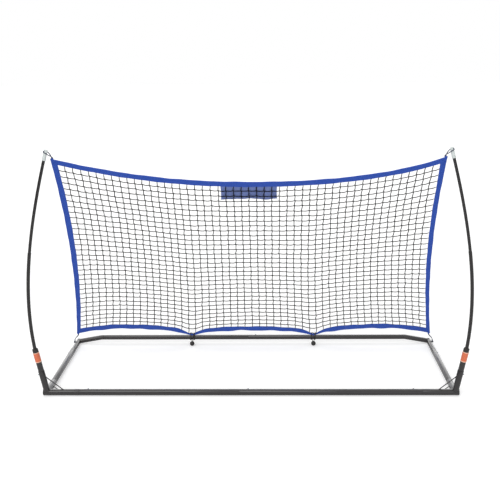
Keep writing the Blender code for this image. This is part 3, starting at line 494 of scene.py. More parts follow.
pole_sockets = {}
for name, side in SIDES:
    origin, up = socket_axis(side)
    front_line, side_line = corner_lines[name]
    pole_socket = rounded(turned(pipe(SOCKET_LENGTH, SOCKET_RADIUS), origin, up))
    pole_sockets[name] = carve(pole_socket, front_line, side_line)
    socket_line = cutter_along(origin, up, SOCKET_LENGTH, SOCKET_RADIUS + TOUCH_GAP)
    to_socket, across_corner = brace_ends(side)
    for kind, ends, lines in (
        ("socket_brace", to_socket, (socket_line, front_line)),
        ("corner_brace", across_corner, (side_line, front_line)),
    ):
        brace = carve(swept([ends], BRACE_RADIUS), *lines)
        dress(brace, f"{kind}_{name}_rod", powder_coat, "frame_steel", f"{kind}_{name}")
    discard(front_line, side_line, socket_line)

# Weld beads. The steel is joined by a rippled bead of weld round each foot, laid before coating,
# so it has the tubes' own black skin.

WELD_RADIUS = 0.0022
WELD_STEPS = 96
WELD_RIPPLES = 24
WELD_SWELL = 0.16
WELD_LIFT = 1.25
ROD_WELD = 0.0014
FRONT_LINE_X = 1.30
REAR_LINE_BACK = 0.20


def leaves_tube(point, way, centre, line, radius):
    """How far along its way a point comes out of a tube, or -1 if that is before the tube's start."""
    offset, line = point - centre, line.normalized()
    across, heading = offset - line * offset.dot(line), way - line * way.dot(line)
    a, b, c = heading.dot(heading), across.dot(heading), across.dot(across) - radius * radius
    reach = (math.sqrt(max(0, b * b - a * c)) - b) / a
    return reach if (point + way * reach - centre).dot(line) > 0 else -1


def weld(name, origin, way, radius, tubes, bead):
    """A bead round a tube, along the line where its skin leaves the tubes that it stands on."""
    turn = way.to_track_quat("Z", "Y").to_matrix()
    points, swell = [], []
    for i in range(WELD_STEPS):
        angle = 2 * math.pi * i / WELD_STEPS
        skin = origin + turn @ Vector((math.cos(angle), math.sin(angle), 0)) * radius
        foot = skin + way * max(leaves_tube(skin, way, *tube) for tube in tubes)
        foot.z = max(foot.z, bead * WELD_LIFT)
        points.append(foot)
        swell.append(1 + WELD_SWELL * math.sin(WELD_RIPPLES * angle))
    piece = swept([points], bead, resolution=3, closed=True, swell=swell)
    return dress(piece, name, powder_coat, "frame_steel")


for name, side in SIDES:
    origin, up = socket_axis(side)
    front_tube = (Vector((side * FRONT_LINE_X, FRONT_Y, FRONT_Z)), Vector((-side, 0, 0)), FRONT_RADIUS)
    side_tube = (origin, ALONG_SIDE, FRONT_RADIUS)
    weld(f"side_stub_weld_{name}", origin, ALONG_SIDE, FRONT_RADIUS, [front_tube], WELD_RADIUS)
    weld(f"socket_weld_{name}", origin, up, SOCKET_RADIUS, [front_tube, side_tube], WELD_RADIUS)
    corner, slope = rear_corner(side), rear_bend(side)[2]
    arm_tube = (corner - ALONG_SIDE * REAR_LINE_BACK, ALONG_SIDE, REAR_RADIUS)
    weld(f"rear_arm_weld_{name}", corner, slope, REAR_RADIUS, [arm_tube], WELD_RADIUS)
    socket_tube = (origin, up, SOCKET_RADIUS)
    (high, low), (from_side, to_front) = brace_ends(side)
    for kind, a, b, tube in (
        ("socket_brace_top", high, low, socket_tube),
        ("socket_brace_foot", low, high, front_tube),
        ("corner_brace_side", from_side, to_front, side_tube),
        ("corner_brace_front", to_front, from_side, front_tube),
    ):
        weld(f"{kind}_weld_{name}", a, (b - a).normalized(), BRACE_RADIUS, [tube], ROD_WELD)

# Snap buttons. A pressed steel pin with a domed head, riveted to a flat spring leg inside the tube
# and plated with bright zinc. It stands through a drilled hole in both walls and locks the joint.

BUTTON_RADIUS = 0.004
BUTTON_PROUD = 0.0055
BUTTON_DEPTH = 2 * TUBE_WALL + SLIP_GAP + TOUCH_GAP
BUTTON_SETBACK = 0.052
BUTTON_CLEARANCE = 0.0004
DRILL_REACH = 0.006
LEG_LENGTH = 0.050
LEG_HEEL = 0.009
LEG_WIDTH = 0.0050
LEG_THICKNESS = 0.0008

# Bright zinc plate on spring steel: a light metal with a satin grain from barrel plating.
PLATING_GRAIN = 0.000667
zinc_plate, tree = new_material("bright_zinc_plate")
place = add_node(tree, "TexCoord", out="Object")
grain = add_node(tree, "TexNoise", {"Vector": place, "Scale": 1 / PLATING_GRAIN, "Detail": 3})
satin = add_node(tree, "MapRange", {"Value": grain, "To Min": 0.20, "To Max": 0.34})
end_material(tree, grain, 0.10, 0.0001, {"Base Color": "#8F9296", "Metallic": 1.0, "Roughness": satin})


def snap_button(name, body, node, at, along, out, *walls):
    """A button on the outside of a joint, with its hole drilled through the tubes' walls there."""
    out = (out - along * out.dot(along)).normalized()
    hole = cutter_along(at - out * DRILL_REACH, out, 2 * DRILL_REACH, BUTTON_RADIUS + BUTTON_CLEARANCE)
    for wall in walls:
        carve(wall, hole)
    discard(hole)
    foot = -BUTTON_DEPTH - LEG_THICKNESS / 2
    head = round_over(BUTTON_PROUD, BUTTON_RADIUS, BUTTON_RADIUS / 2)[:-1]
    pin_profile = [(foot, 0), (foot, BUTTON_RADIUS), *head, (BUTTON_PROUD, 0)]
    pin = turned(pin_profile, at, out, sides=32, hollow=False)
    bpy.ops.mesh.primitive_cube_add(size=1)
    leg = bpy.context.object
    leg.scale = (LEG_LENGTH + LEG_HEEL, LEG_WIDTH, LEG_THICKNESS)
    leg.location = ((LEG_LENGTH - LEG_HEEL) / 2, 0, foot)
    settle(leg)
    rounded(leg, LEG_THICKNESS / 3)
    turn = Matrix((along, out.cross(along), out)).transposed().to_4x4()
    leg.matrix_world = Matrix.Translation(at) @ turn
    settle(leg)
    apply_modifier(leg, "BOOLEAN", operation="UNION", object=pin, solver="EXACT")
    discard(pin)
    dress(leg, name, zinc_plate, "snap_steel", node, body=body)


for name, side in SIDES:
    inward, outward = Vector((-side, 0, 0)), Vector((side, 0, 0))
    front_at = Vector((side * (FRONT_JOINT_X - BUTTON_SETBACK), FRONT_Y, FRONT_Z + FRONT_RADIUS))
    rear_at = Vector((side * (REAR_JOINT_X - BUTTON_SETBACK), REAR_Y + REAR_RADIUS, REAR_BAR_Z))
    side_front_at = front_corner(side) + ALONG_SIDE * (SIDE_STUB - BUTTON_SETBACK) + outward * FRONT_RADIUS
    side_rear_at = rear_corner(side) - ALONG_SIDE * (REAR_SIDE_ARM + BUTTON_SETBACK) + outward * SIDE_RADIUS
    for kind, at, along, out, walls in (
        ("front", front_at, inward, Vector((0, 0, 1)), (front_bars[name], front_stubs[name])),
        ("rear", rear_at, inward, Vector((0, 1, 0)), (rear_bars[name], rear_corners[name])),
        ("side_front", side_front_at, -ALONG_SIDE, outward, (side_stubs[name], side_tubes[name])),
        ("side_rear", side_rear_at, -ALONG_SIDE, outward, (side_tubes[name], rear_corners[name])),
    ):
        snap_button(f"{kind}_button_{name}", f"{kind}_{name}_button", f"snap_button_{kind}_{name}",
                    at, along, out, *walls)
for kind, seam_x, y, top, bars in (
    ("front", FRONT_SEAM_X, FRONT_Y, FRONT_Z + FRONT_RADIUS, front_bars),
    ("rear", REAR_SEAM_X, REAR_Y, REAR_BAR_Z + REAR_RADIUS, rear_bars),
):
    at = Vector((seam_x + BUTTON_SETBACK, y, top))
    snap_button(f"{kind}_button_middle", f"{kind}_middle_button", f"snap_button_{kind}_middle",
                at, Vector((1, 0, 0)), Vector((0, 0, 1)), bars["right"], bars["left"])

# Plugs and hooks. The open ends of the front bar are closed with pushed-in plugs, and a small
# button hook on each rear corner takes the net's elastic. Both are moulded black plastic.

PLUG_FLANGE = 0.005
PLUG_LENGTH = 0.014
PLUG_DOME = 0.004
HOOK_RADIUS = 0.004
HOOK_LENGTH = 0.014
HOOK_HEAD = 0.003
HOOK_HEAD_RADIUS = 0.007
HOOK_FOOT = 0.0010
HOOK_FILLET = 0.0008
HOOK_RIM = 0.0006
HOOK_CROWN = ((0.0012, 0), (0.0003, 0.0010), (0, 0.0028))
HOOK_BEFORE_END = 0.014

# Moulded polypropylene, black: a dull skin with the fine grain of the mould, 0.6 mm.
MOULD_CLOUD = 0.0167
MOULD_GRAIN = 0.000625
black_moulding, tree = new_material("moulded_black_polypropylene")
place = add_node(tree, "TexCoord", out="Object")
cloud = add_node(tree, "TexNoise", {"Vector": place, "Scale": 1 / MOULD_CLOUD, "Detail": 4})
grain = add_node(tree, "TexVoronoi", {"Vector": place, "Scale": 1 / MOULD_GRAIN}, out="Distance")
tone = add_node(tree, "Mix", {0: cloud, 6: "#151413", 7: "#23211F"}, out=2, data_type="RGBA")
end_material(tree, grain, 0.30, 0.00008, {
    "Base Color": tone, "Roughness": 0.48, "Specular IOR Level": 0.45,
})


def hook_foot(side):
    """Where a hook stands on the outside of a rear corner."""
    outward = Vector((side * (REAR_RADIUS + TOUCH_GAP), 0, 0))
    return rear_corner(side) - ALONG_SIDE * HOOK_BEFORE_END + outward


for name, side in SIDES:
    inward, outward = Vector((-side, 0, 0)), Vector((side, 0, 0))
    bore = FRONT_RADIUS - TUBE_WALL - TOUCH_GAP
    crown = [(-level, radius) for level, radius in reversed(round_over(0, FRONT_RADIUS, PLUG_DOME, steps=8))]
    plug = [(0, 0), *crown, (PLUG_FLANGE, FRONT_RADIUS), (PLUG_FLANGE, bore),
            (PLUG_FLANGE + PLUG_LENGTH, bore), (PLUG_FLANGE + PLUG_LENGTH, 0)]
    piece = turned(plug, bar_end(side) - inward * (PLUG_FLANGE + TOUCH_GAP), inward, hollow=False)
    dress(piece, f"front_plug_{name}", black_moulding, "black_plastic", f"end_cap_{name}")
    neck = HOOK_LENGTH - HOOK_HEAD
    hook = [(0, 0), (0, HOOK_RADIUS + HOOK_FILLET), (HOOK_FOOT, HOOK_RADIUS),
            (neck - HOOK_FILLET, HOOK_RADIUS), (neck, HOOK_RADIUS + HOOK_FILLET),
            (neck, HOOK_HEAD_RADIUS - HOOK_RIM), (neck + HOOK_RIM, HOOK_HEAD_RADIUS)]
    hook += [(HOOK_LENGTH - down, HOOK_HEAD_RADIUS - narrower) for down, narrower in HOOK_CROWN]
    piece = turned([*hook, (HOOK_LENGTH, 0)], hook_foot(side), outward, sides=40, hollow=False)
    dress(piece, f"net_hook_{name}", black_moulding, "black_plastic", f"corner_hook_{name}")

# Pole feet. A steel ferrule drops into the socket. Above it a printed orange film is wrapped round,
# here left blank, and a moulded bush with a collar is pressed in and grips the rod.

FERRULE_TOP = 0.267
FERRULE_INSERT = 0.095
FERRULE_RADIUS = SOCKET_RADIUS - TUBE_WALL - SLIP_GAP
BAND_LENGTH = 0.062
BAND_THICKNESS = 0.0008
BAND_MARGIN = 0.0045
MARGIN_EDGE = 0.0003
COLLAR_LENGTH = 0.022
COLLAR_BEVEL = 0.003
COLLAR_DRAFT = 0.0004
MOULDED_ROUNDING = 0.0005
BUSH_DEPTH = 0.110
BUSH_FLOOR = 0.004
POLE_LOWER_RADIUS = 0.0102
POLE_BUTTON_DOWN = 0.022
CAD_TUBE_SIDES = 16

# Orange vinyl film, calendered and printed: a smooth coat with a paler unprinted margin at both
# ends of the wrap. The point attribute "margin" says where that is.
INK_CLOUD = 0.00625
orange_film, tree = new_material("printed_orange_vinyl")
place = add_node(tree, "TexCoord", out="Object")
margin = add_node(tree, "Attribute", attribute_name="margin", out="Fac")
cloud = add_node(tree, "TexNoise", {"Vector": place, "Scale": 1 / INK_CLOUD, "Detail": 4})
ink = add_node(tree, "Mix", {0: cloud, 6: "#CE5A33", 7: "#E07A52"}, out=2, data_type="RGBA")
tone = add_node(tree, "Mix", {0: margin, 6: ink, 7: "#F2BFA6"}, out=2, data_type="RGBA")
end_material(tree, cloud, 0.20, 0.0002, {"Base Color": tone, "Roughness": 0.38, "Coat Weight": 0.2})


def facing(origin, direction, wanted):
    """The facet of the plain tube that the button stands on: the one nearest to what is wanted."""
    turn = Vector(direction).to_track_quat("X", "Z").to_matrix()
    angles = [i * 2 * math.pi / CAD_TUBE_SIDES for i in range(CAD_TUBE_SIDES)]
    ways = [turn @ Vector((0, math.sin(a), math.cos(a))) for a in angles]
    return max(ways, key=wanted.dot)


for name, side in SIDES:
    origin, up = socket_axis(side)
    start = SOCKET_LENGTH - FERRULE_INSERT
    ferrule = rounded(turned(pipe(FERRULE_TOP - start, FERRULE_RADIUS), origin + up * start, up))
    out = facing(origin, up, Vector((side, 0, 0)))
    at = origin + up * (SOCKET_LENGTH - POLE_BUTTON_DOWN) + out * SOCKET_RADIUS
    snap_button(f"pole_button_{name}_pin", f"{name}_pole_button", f"pole_button_{name}", at, -up, out,
                pole_sockets[name], ferrule)
    dress(ferrule, f"pole_foot_tube_{name}", powder_coat, "frame_steel", f"pole_ferrule_{name}")

    foot = origin + up * (FERRULE_TOP - BAND_LENGTH)
    outer, inner = FERRULE_RADIUS + TOUCH_GAP + BAND_THICKNESS, FERRULE_RADIUS + TOUCH_GAP
    low_margin = (0, BAND_MARGIN, BAND_MARGIN + MARGIN_EDGE)
    levels = [*low_margin, *[BAND_LENGTH - level for level in reversed(low_margin)]]
    band = turned([(0, inner), *[(level, outer) for level in levels], (BAND_LENGTH, inner)], foot, up)
    pale = band.data.attributes.new("margin", "FLOAT", "POINT")
    for vertex in band.data.vertices:
        height = (vertex.co - foot).dot(up)
        from_end = min(height, BAND_LENGTH - height)
        pale.data[vertex.index].value = 0 if from_end > BAND_MARGIN + MARGIN_EDGE / 3 else 1
    dress(band, f"foot_band_{name}", orange_film, "orange_film", f"label_band_{name}")

    grip, bush = POLE_LOWER_RADIUS + TOUCH_GAP, FERRULE_RADIUS - TUBE_WALL - TOUCH_GAP
    top = BUSH_DEPTH + TOUCH_GAP + COLLAR_LENGTH
    collar = [
        (0, 0), (0, bush), (BUSH_DEPTH + TOUCH_GAP, bush), (BUSH_DEPTH + TOUCH_GAP, FERRULE_RADIUS),
        (top - 2 * COLLAR_BEVEL, FERRULE_RADIUS), (top - COLLAR_BEVEL, FERRULE_RADIUS - COLLAR_DRAFT),
        (top - COLLAR_BEVEL / 3, FERRULE_RADIUS - COLLAR_BEVEL * 0.6), (top, FERRULE_RADIUS - COLLAR_BEVEL),
        (top, grip), (BUSH_FLOOR, grip), (BUSH_FLOOR, 0),
    ]
    piece = turned(collar, origin + up * (FERRULE_TOP - BUSH_DEPTH), up, hollow=False)
    rounded(piece, MOULDED_ROUNDING)
    dress(piece, f"pole_bush_{name}", black_moulding, "black_plastic", f"pole_collar_{name}")

for name, side in SIDES:
    for pieces_of, kind in (
        (front_stubs, "front_stub"), (side_stubs, "side_stub"), (side_tubes, "side_tube"),
        (front_bars, "front_bar"), (rear_bars, "rear_bar"), (rear_corners, "rear_corner"),
        (pole_sockets, "pole_socket"),
    ):
        dress(pieces_of[name], f"{kind}_{name}_coated", powder_coat, "frame_steel", f"{kind}_{name}")

# Poles. Pultruded fibreglass with a smooth black skin, a thinner rod plugged into a thicker one.
# They are straight when loose, and bent like bows by the pull of the net.

POLE_RADIUS = 0.0088
POLE_LOWER_LENGTH = 0.575
POLE_LIP = ((0.0, 1.0), (0.0010, 0.97), (0.0022, 0.88))
POLE_START = (0.110, -0.095)
TIP_IN = 0.089
TIP_Z = 1.456
TIP_LEAN = (-0.260, 0.090)
POLE_STEPS = 110
CAP_LENGTH = 0.062
CAP_SOCKET = 0.042

# At this scale a wave texture repeats about once per unit of its map, and on a slant once per two.
WAVE_SCALE = 0.32

# Pultruded glass fibre in black polyester resin: a glossy skin with faint marks of the peel ply
# that was wound round it, 5.8 mm apart along the rod.
PLY_PITCH = 0.00582
PLY_SLANT = 3.125
RESIN_CLOUD = 0.00238
rod_skin, tree = new_material("pultruded_black_fibreglass")
along = add_node(tree, "TexCoord", out="UV")
lay = add_node(tree, "Mapping", {"Vector": along, "Scale": (PLY_SLANT, 2 / PLY_PITCH, 1)})
wound = add_node(tree, "TexWave", {"Vector": lay, "Scale": WAVE_SCALE, "Distortion": 1.2, "Detail": 2},
                 out="Fac", bands_direction="DIAGONAL")
place = add_node(tree, "TexCoord", out="Object")
cloud = add_node(tree, "TexNoise", {"Vector": place, "Scale": 1 / RESIN_CLOUD, "Detail": 3})
tone = add_node(tree, "Mix", {0: cloud, 6: "#100E0F", 7: "#1C191A"}, out=2, data_type="RGBA")
gloss = add_node(tree, "MapRange", {"Value": wound, "To Min": 0.20, "To Max": 0.34})
end_material(tree, wound, 0.20, 0.0001, {
    "Base Color": tone, "Roughness": gloss, "Specular IOR Level": 0.40,
    "Coat Weight": 0.10, "Coat Roughness": 0.15,
})


def hermite(start, start_way, end, end_way, steps):
    """A cubic from one point to another, with a given direction and pull at each."""
    points = []
    for i in range(steps + 1):
        t = i / steps
        points.append(start * (2 * t ** 3 - 3 * t * t + 1) + end * (3 * t * t - 2 * t ** 3)
                      + start_way * (t ** 3 - 2 * t * t + t) + end_way * (t ** 3 - t * t))
    return points


def pole_tip(side):
    """The top of a pole's cap, and the way that the rod points there."""
    tip = Vector((side * (CORNER_X - TIP_IN), FRONT_Y, TIP_Z))
    return tip, Vector((side * TIP_LEAN[0], TIP_LEAN[1], 1)).normalized()


for name, side in SIDES:
    origin, up = socket_axis(side)
    tip, lean = pole_tip(side)
    foot = origin + up * (FERRULE_TOP - BUSH_DEPTH)
    begin = foot + up * (BUSH_DEPTH + TOUCH_GAP + COLLAR_LENGTH)
    cap_foot = tip - lean * CAP_LENGTH
    rise = cap_foot.z - begin.z
    first = Vector((side * POLE_START[0], POLE_START[1], 1))
    line = [foot + up * (BUSH_FLOOR + TOUCH_GAP)]
    line += hermite(begin, first * rise, cap_foot, lean / lean.z * rise, POLE_STEPS)
    line.append(cap_foot + lean * (CAP_SOCKET - TOUCH_GAP))
    joint, shown = 1, 0
    while shown < POLE_LOWER_LENGTH:
        shown += (line[joint + 1] - line[joint]).length
        joint += 1
    ahead = (line[joint + 1] - line[joint]).normalized()
    wide = POLE_LOWER_RADIUS / POLE_RADIUS
    swell = [wide] * joint + [wide * share for _, share in POLE_LIP] + [1] * (len(line) - joint - 1)
    line[joint:joint + 1] = [line[joint] + ahead * rise for rise, _ in POLE_LIP]
    rod = swept([line], POLE_RADIUS, resolution=10, swell=swell)
    dress(rod, f"bow_rod_{name}", rod_skin, "pole_fibreglass", f"pole_{name}")

# Tip caps. A blind plastic cap is pushed on each rod. A slot across its top, in line with the net's
# corner, holds the elastic loop.

CAP_RADIUS = 0.0110
CAP_TOP_RADIUS = 0.0100
CAP_ROUNDING = 0.003
CAP_LIP = (0.0006, 0.0004)
CAP_PINHOLE = 0.0002
SLOT_DEPTH = 0.012
SLOT_WIDTH = 0.0056
CAD_CAP_SIDES = 12

# Natural polyethylene, injection moulded: white, milky and a little translucent, with soft gloss.
MILK_CLOUD = 0.0111
milky_plastic, tree = new_material("moulded_natural_polyethylene")
place = add_node(tree, "TexCoord", out="Object")
cloud = add_node(tree, "TexNoise", {"Vector": place, "Scale": 1 / MILK_CLOUD, "Detail": 3})
tone = add_node(tree, "Mix", {0: cloud, 6: "#C4CCCB", 7: "#DEE4E2"}, out=2, data_type="RGBA")
end_material(tree, cloud, 0.15, 0.0002, {
    "Base Color": tone, "Roughness": 0.36, "Subsurface Weight": 0.25,
    "Subsurface Radius": (0.006, 0.006, 0.006), "Subsurface Scale": 0.4,
})

# The net's own plane: +Y up its slope, +Z away from the player.
NET_FOOT_IN = 0.025
NET_FOOT_Z = 0.081
NET_LEAN = math.radians(31.8)
NET_LENGTH = 1.556
NET_TOP_WIDTH = 2.196
NET_BOTTOM_WIDTH = 2.406
NET_FOOT = Matrix.Translation((0, REAR_Y - NET_FOOT_IN, NET_FOOT_Z))
NET_PLANE = NET_FOOT @ Matrix.Rotation(math.pi / 2 + NET_LEAN, 4, "X")


def tip_frame(side):
    """The frame of a cap: X along the rod, Y along the slot towards the net's corner."""
    tip, lean = pole_tip(side)
    pull = NET_PLANE @ Vector((side * NET_TOP_WIDTH / 2, NET_LENGTH, 0)) - tip
    pull = (pull - lean * pull.dot(lean)).normalized()
    return Matrix.Translation(tip) @ Matrix((lean, pull, lean.cross(pull))).transposed().to_4x4()


for name, side in SIDES:
    tip, lean = pole_tip(side)
    grip = POLE_RADIUS + TOUCH_GAP
    crown = round_over(0, CAP_TOP_RADIUS, CAP_ROUNDING)
    foot, blind = -CAP_LENGTH, CAP_SOCKET - CAP_LENGTH
    profile = [(foot, grip), (foot, CAP_RADIUS - CAP_LIP[1]), (foot + CAP_LIP[0], CAP_RADIUS), *crown,
               (0, CAP_PINHOLE), (blind, CAP_PINHOLE), (blind, grip)]
    cap = turned(profile, tip, lean, sides=48)
    bpy.ops.mesh.primitive_cube_add(size=2)
    slot = bpy.context.object
    slot.scale = (SLOT_DEPTH, 2 * CAP_RADIUS, SLOT_WIDTH / 2)
    settle(slot)
    slot.matrix_world = tip_frame(side)
    carve(cap, slot)
    discard(slot)
    rounded(cap, MOULDED_ROUNDING)
    dress(cap, f"slotted_cap_{name}", milky_plastic, "white_plastic", f"pole_tip_{name}")

# Net twine. Black polyethylene twine, drawn 5.2 to 5.6 mm thick, is knotted by machine into meshes
# of about 45 mm. Each knot sets the upright a little aside, and rows hang slack between knots.

TOP_SAG = 0.180
SIDE_SAG = 0.038
OUTER_ARCH = 0.055
MIDDLE_ARCH = 0.033
ARCH_LEAN = 0.25
TIE_X = 0.413
HEM_WIDTH = 0.034
TOP_WIDER = 0.10
ENDS_NARROWER = 0.13
RIGHT_SLACK = 0.035
SLACK_START = 0.1
FALL_STEP = 0.001
FOOT_WIDER = 0.25
CORNERS_WIDER = 0.40
CORNER_POWER = 6
COLUMNS = 50
ROWS = 32
UPRIGHT_RADIUS = 0.0028
ROW_RADIUS = 0.0026
TWINE_TUCK = 0.006
KNOT_HALF = 0.0044
KNOT_SHIFT = 0.0014
KNOT_RING = 0.0024
KNOT_THICKNESS = 0.0018
KNOT_STRETCH = (1.0, 1.25, 1.5)
KNOT_TILTS = (25, 65)
KNOT_TIPS = (60, 85)
TUCKED_SHARES = (0.50, 0.75)
KNOT_DRIFT = 0.0024
UPRIGHT_WANDER = (0.0010, 0.0012)
ROW_DROP = 0.0004
ROW_SAG = 0.0030
ROW_SLACK = (0.35, 1.3)
ROW_PARTS = (0.3, 0.5, 0.72)
TIE_GATHER = 0.062
TIE_FADE = 9
TIE_DIP = 0.017
TIE_NARROW = 0.55
chance = random.Random(11)


def spread(u):
    """Where a column lies along an edge, so that whole columns fall on the two hold-downs."""
    third = 0.5 - TIE_X / NET_BOTTOM_WIDTH
    if u < 1 / 3:
        return u * 3 * third
    if u > 2 / 3:
        return 1 - (1 - u) * 3 * third
    return third + (u - 1 / 3) * 3 * (1 - 2 * third)


def fall(u):
    """How far the top edge hangs below its corners. It is slacker towards the right, as in the photo."""
    slacker = RIGHT_SLACK * max(0, u) ** 2 / (abs(u) + SLACK_START) * (1 - u ** CORNER_POWER)
    return TOP_SAG * (1 - u * u) + slacker


def depth(u):
    """How far down the top hem reaches for its width, so that its slope doesn't make it narrower."""
    slope = (fall(u - FALL_STEP) - fall(u + FALL_STEP)) / (FALL_STEP * NET_TOP_WIDTH)
    return (1 + TOP_WIDER - ENDS_NARROWER * u * u) * math.hypot(1, slope) + slope * u


def edge(which, t, inset):
    """A point of the net's outline, moved in by an inset. The top, sides and foot all curve inwards."""
    top, foot = NET_TOP_WIDTH / 2 - inset, NET_BOTTOM_WIDTH / 2 - inset
    low = inset * (1 + FOOT_WIDER + CORNERS_WIDER)
    if which == "top":
        u = 2 * spread(t) - 1
        return Vector((top * u, NET_LENGTH - inset * depth(u) - fall(u), 0))
    if which == "foot":
        u, part, arch = 2 * spread(t) - 1, (3 * t) % 1, MIDDLE_ARCH
        if not 1 / 3 < t < 2 / 3:
            part = part if t < 0.5 else 1 - part
            part, arch = part + ARCH_LEAN * part * (1 - part), OUTER_ARCH
        deep = inset * (1 + FOOT_WIDER + CORNERS_WIDER * u ** CORNER_POWER)
        return Vector((foot * u, deep + arch * 4 * part * (1 - part), 0))
    side = -1 if which == "left" else 1
    high = NET_LENGTH - inset * depth(side)
    reach = foot + (top - foot) * t - SIDE_SAG * 4 * t * (1 - t)
    return Vector((side * reach, low + (high - low) * t, 0))


def net_point(u, v, inset):
    """A point inside the outline, blended from its four edges."""
    foot, top = edge("foot", u, inset), edge("top", u, inset)
    left, right = edge("left", v, inset), edge("right", v, inset)
    across = spread(u)
    corners = (edge("foot", 0, inset) * (1 - across) * (1 - v) + edge("foot", 1, inset) * across * (1 - v)
               + edge("top", 0, inset) * (1 - across) * v + edge("top", 1, inset) * across * v)
    return foot * (1 - v) + top * v + left * (1 - across) + right * across - corners


def gathered(x):
    """How far the hold-downs draw the net's foot together at x: 1 beside one, and 0 well away."""
    return max(math.exp(-((x - side * TIE_X) / TIE_GATHER) ** 2) for _, side in SIDES)


def copies(name, model, places):
    """One mesh of many copies of a small model, which is then deleted."""
    corners = [vertex.co.copy() for vertex in model.data.vertices]
    faces = [list(face.vertices) for face in model.data.polygons]
    points, shapes = [], []
    for place in places:
        first = len(points)
        points += [place @ corner for corner in corners]
        shapes += [[first + i for i in face] for face in faces]
    mesh = bpy.data.meshes.new(name)
    mesh.from_pydata(points, [], shapes)
    piece = bpy.data.objects.new(name, mesh)
    bpy.context.scene.collection.objects.link(piece)
    discard(model)
    return piece


# Twisted polyethylene twine, black: dull, with a slanting lay that shows as fine ridges, and with
# painted shade in the grooves between them. They are drawn 4 mm apart, coarser than the real lay,
# so that they show.
LAY_PITCH = 0.004
TWINE_CLOUD = 0.0286
twine_lay, tree = new_material("twisted_polyethylene_twine")
along = add_node(tree, "TexCoord", out="UV")
lay = add_node(tree, "Mapping", {"Vector": along, "Scale": (1, 2 / LAY_PITCH, 1)})
ridge = add_node(tree, "TexWave", {"Vector": lay, "Scale": WAVE_SCALE, "Distortion": 0.4},
                 out="Fac", bands_direction="DIAGONAL")
place = add_node(tree, "TexCoord", out="Object")
cloud = add_node(tree, "TexNoise", {"Vector": place, "Scale": 1 / TWINE_CLOUD, "Detail": 4})
# Painted shade: the twine's colour goes darker in the grooves of the lay, times a random mottle.
shade = add_node(tree, "Math", {0: ridge, 1: cloud}, operation="MULTIPLY")
tone = add_node(tree, "Mix", {0: shade, 6: "#0D0B0A", 7: "#201D1B"}, out=2, data_type="RGBA")
end_material(tree, ridge, 0.5, 0.0003, {
    "Base Color": tone, "Roughness": 0.75, "Specular IOR Level": 0.15,
})

tucked = HEM_WIDTH - TWINE_TUCK
knots = {}
for i in range(COLUMNS + 1):
    for j in range(ROWS + 1):
        drift = Vector((chance.uniform(-1, 1), chance.uniform(-1, 1), 0)) * KNOT_DRIFT
        at_edge = i in (0, COLUMNS) or j in (0, ROWS)
        knot = net_point(i / COLUMNS, j / ROWS, tucked)
        deepest = TIE_DIP + (TIE_NARROW + FOOT_WIDER) * tucked
        drawn = deepest * gathered(knot.x) * (1 - j / ROWS) ** TIE_FADE
        knots[i, j] = knot - Vector((0, drawn, 0)) + (Vector() if at_edge else drift)

uprights, rows, knot_places = [], [], []
for i in range(1, COLUMNS):
    line = [knots[i, 0]]
    for j in range(1, ROWS + 1):
        below, above = knots[i, j - 1], knots[i, j]
        rise = (above - below).normalized()
        side_step = Vector((rise.y, -rise.x, 0)) * KNOT_SHIFT
        line.append(below + rise * KNOT_HALF - side_step)
        aside, out = (chance.uniform(-1, 1) * reach for reach in UPRIGHT_WANDER)
        line.append((below + above) / 2 + Vector((aside, 0, out)))
        line.append(above - rise * KNOT_HALF + side_step)
        line.append(above)
    uprights.append([NET_PLANE @ point for point in line])
for j in range(1, ROWS):
    line = [knots[0, j]]
    for i in range(1, COLUMNS + 1):
        before, after = knots[i - 1, j], knots[i, j]
        ahead = (after - before).normalized()
        sag = ROW_SAG * chance.uniform(*ROW_SLACK)
        line.append(before + ahead * KNOT_HALF + Vector((0, -ROW_DROP, 0)))
        for part in ROW_PARTS:
            lowered = Vector((0, -sag * 4 * part * (1 - part), 0))
            line.append(before + (after - before) * part + lowered)
        line.append(after - ahead * KNOT_HALF)
        line.append(after)
        if i < COLUMNS:
            tilt = Matrix.Rotation(math.radians(chance.uniform(*KNOT_TILTS)), 4, "Z")
            tip_over = Matrix.Rotation(math.radians(chance.uniform(*KNOT_TIPS)), 4, "X")
            knot_places.append(NET_PLANE @ Matrix.Translation(after) @ tilt @ tip_over)
    rows.append([NET_PLANE @ point for point in line])

bpy.ops.mesh.primitive_torus_add(
    major_segments=9, minor_segments=5, major_radius=KNOT_RING, minor_radius=KNOT_THICKNESS)
knot = bpy.context.object
knot.scale = KNOT_STRETCH
settle(knot)
dress(copies("net_knots", knot, knot_places), "net_knots", twine_lay, "net_twine", "net_mesh")
# The twine is pressed thin where it is sewn into the hem.
for name, lines, radius in (("net_uprights", uprights, UPRIGHT_RADIUS), ("net_rows", rows, ROW_RADIUS)):
    pressed = [*TUCKED_SHARES, *[1] * (len(lines[0]) - 4), *TUCKED_SHARES[::-1]]
    dress(swept(lines, radius, resolution=1, swell=pressed), name, twine_lay, "net_twine", "net_mesh")

# Hems. Royal blue polyester webbing, 75 mm wide and 84 mm at the foot, is folded over the net's
# edge and an edge cord, and sewn through with two rows of thread. The foot is slacker and puckers.

HEM_STEPS = 150
HEM_HALF = 0.0014
HEM_CORD_HALF = 0.0021
HEM_CORD_REACH = 0.006
WEBBING_THICKNESS = 0.0006
STITCH_LENGTH = 0.0036
STITCH_PITCH = 0.0052
STITCH_ROWS = (0.0085, 0.0300)
THREAD_HALF = 0.00045
RIGHT_NARROWER = 0.17
PLEATS = 3
PLEAT_DEPTH = 0.0016
HEM_FADE = 12
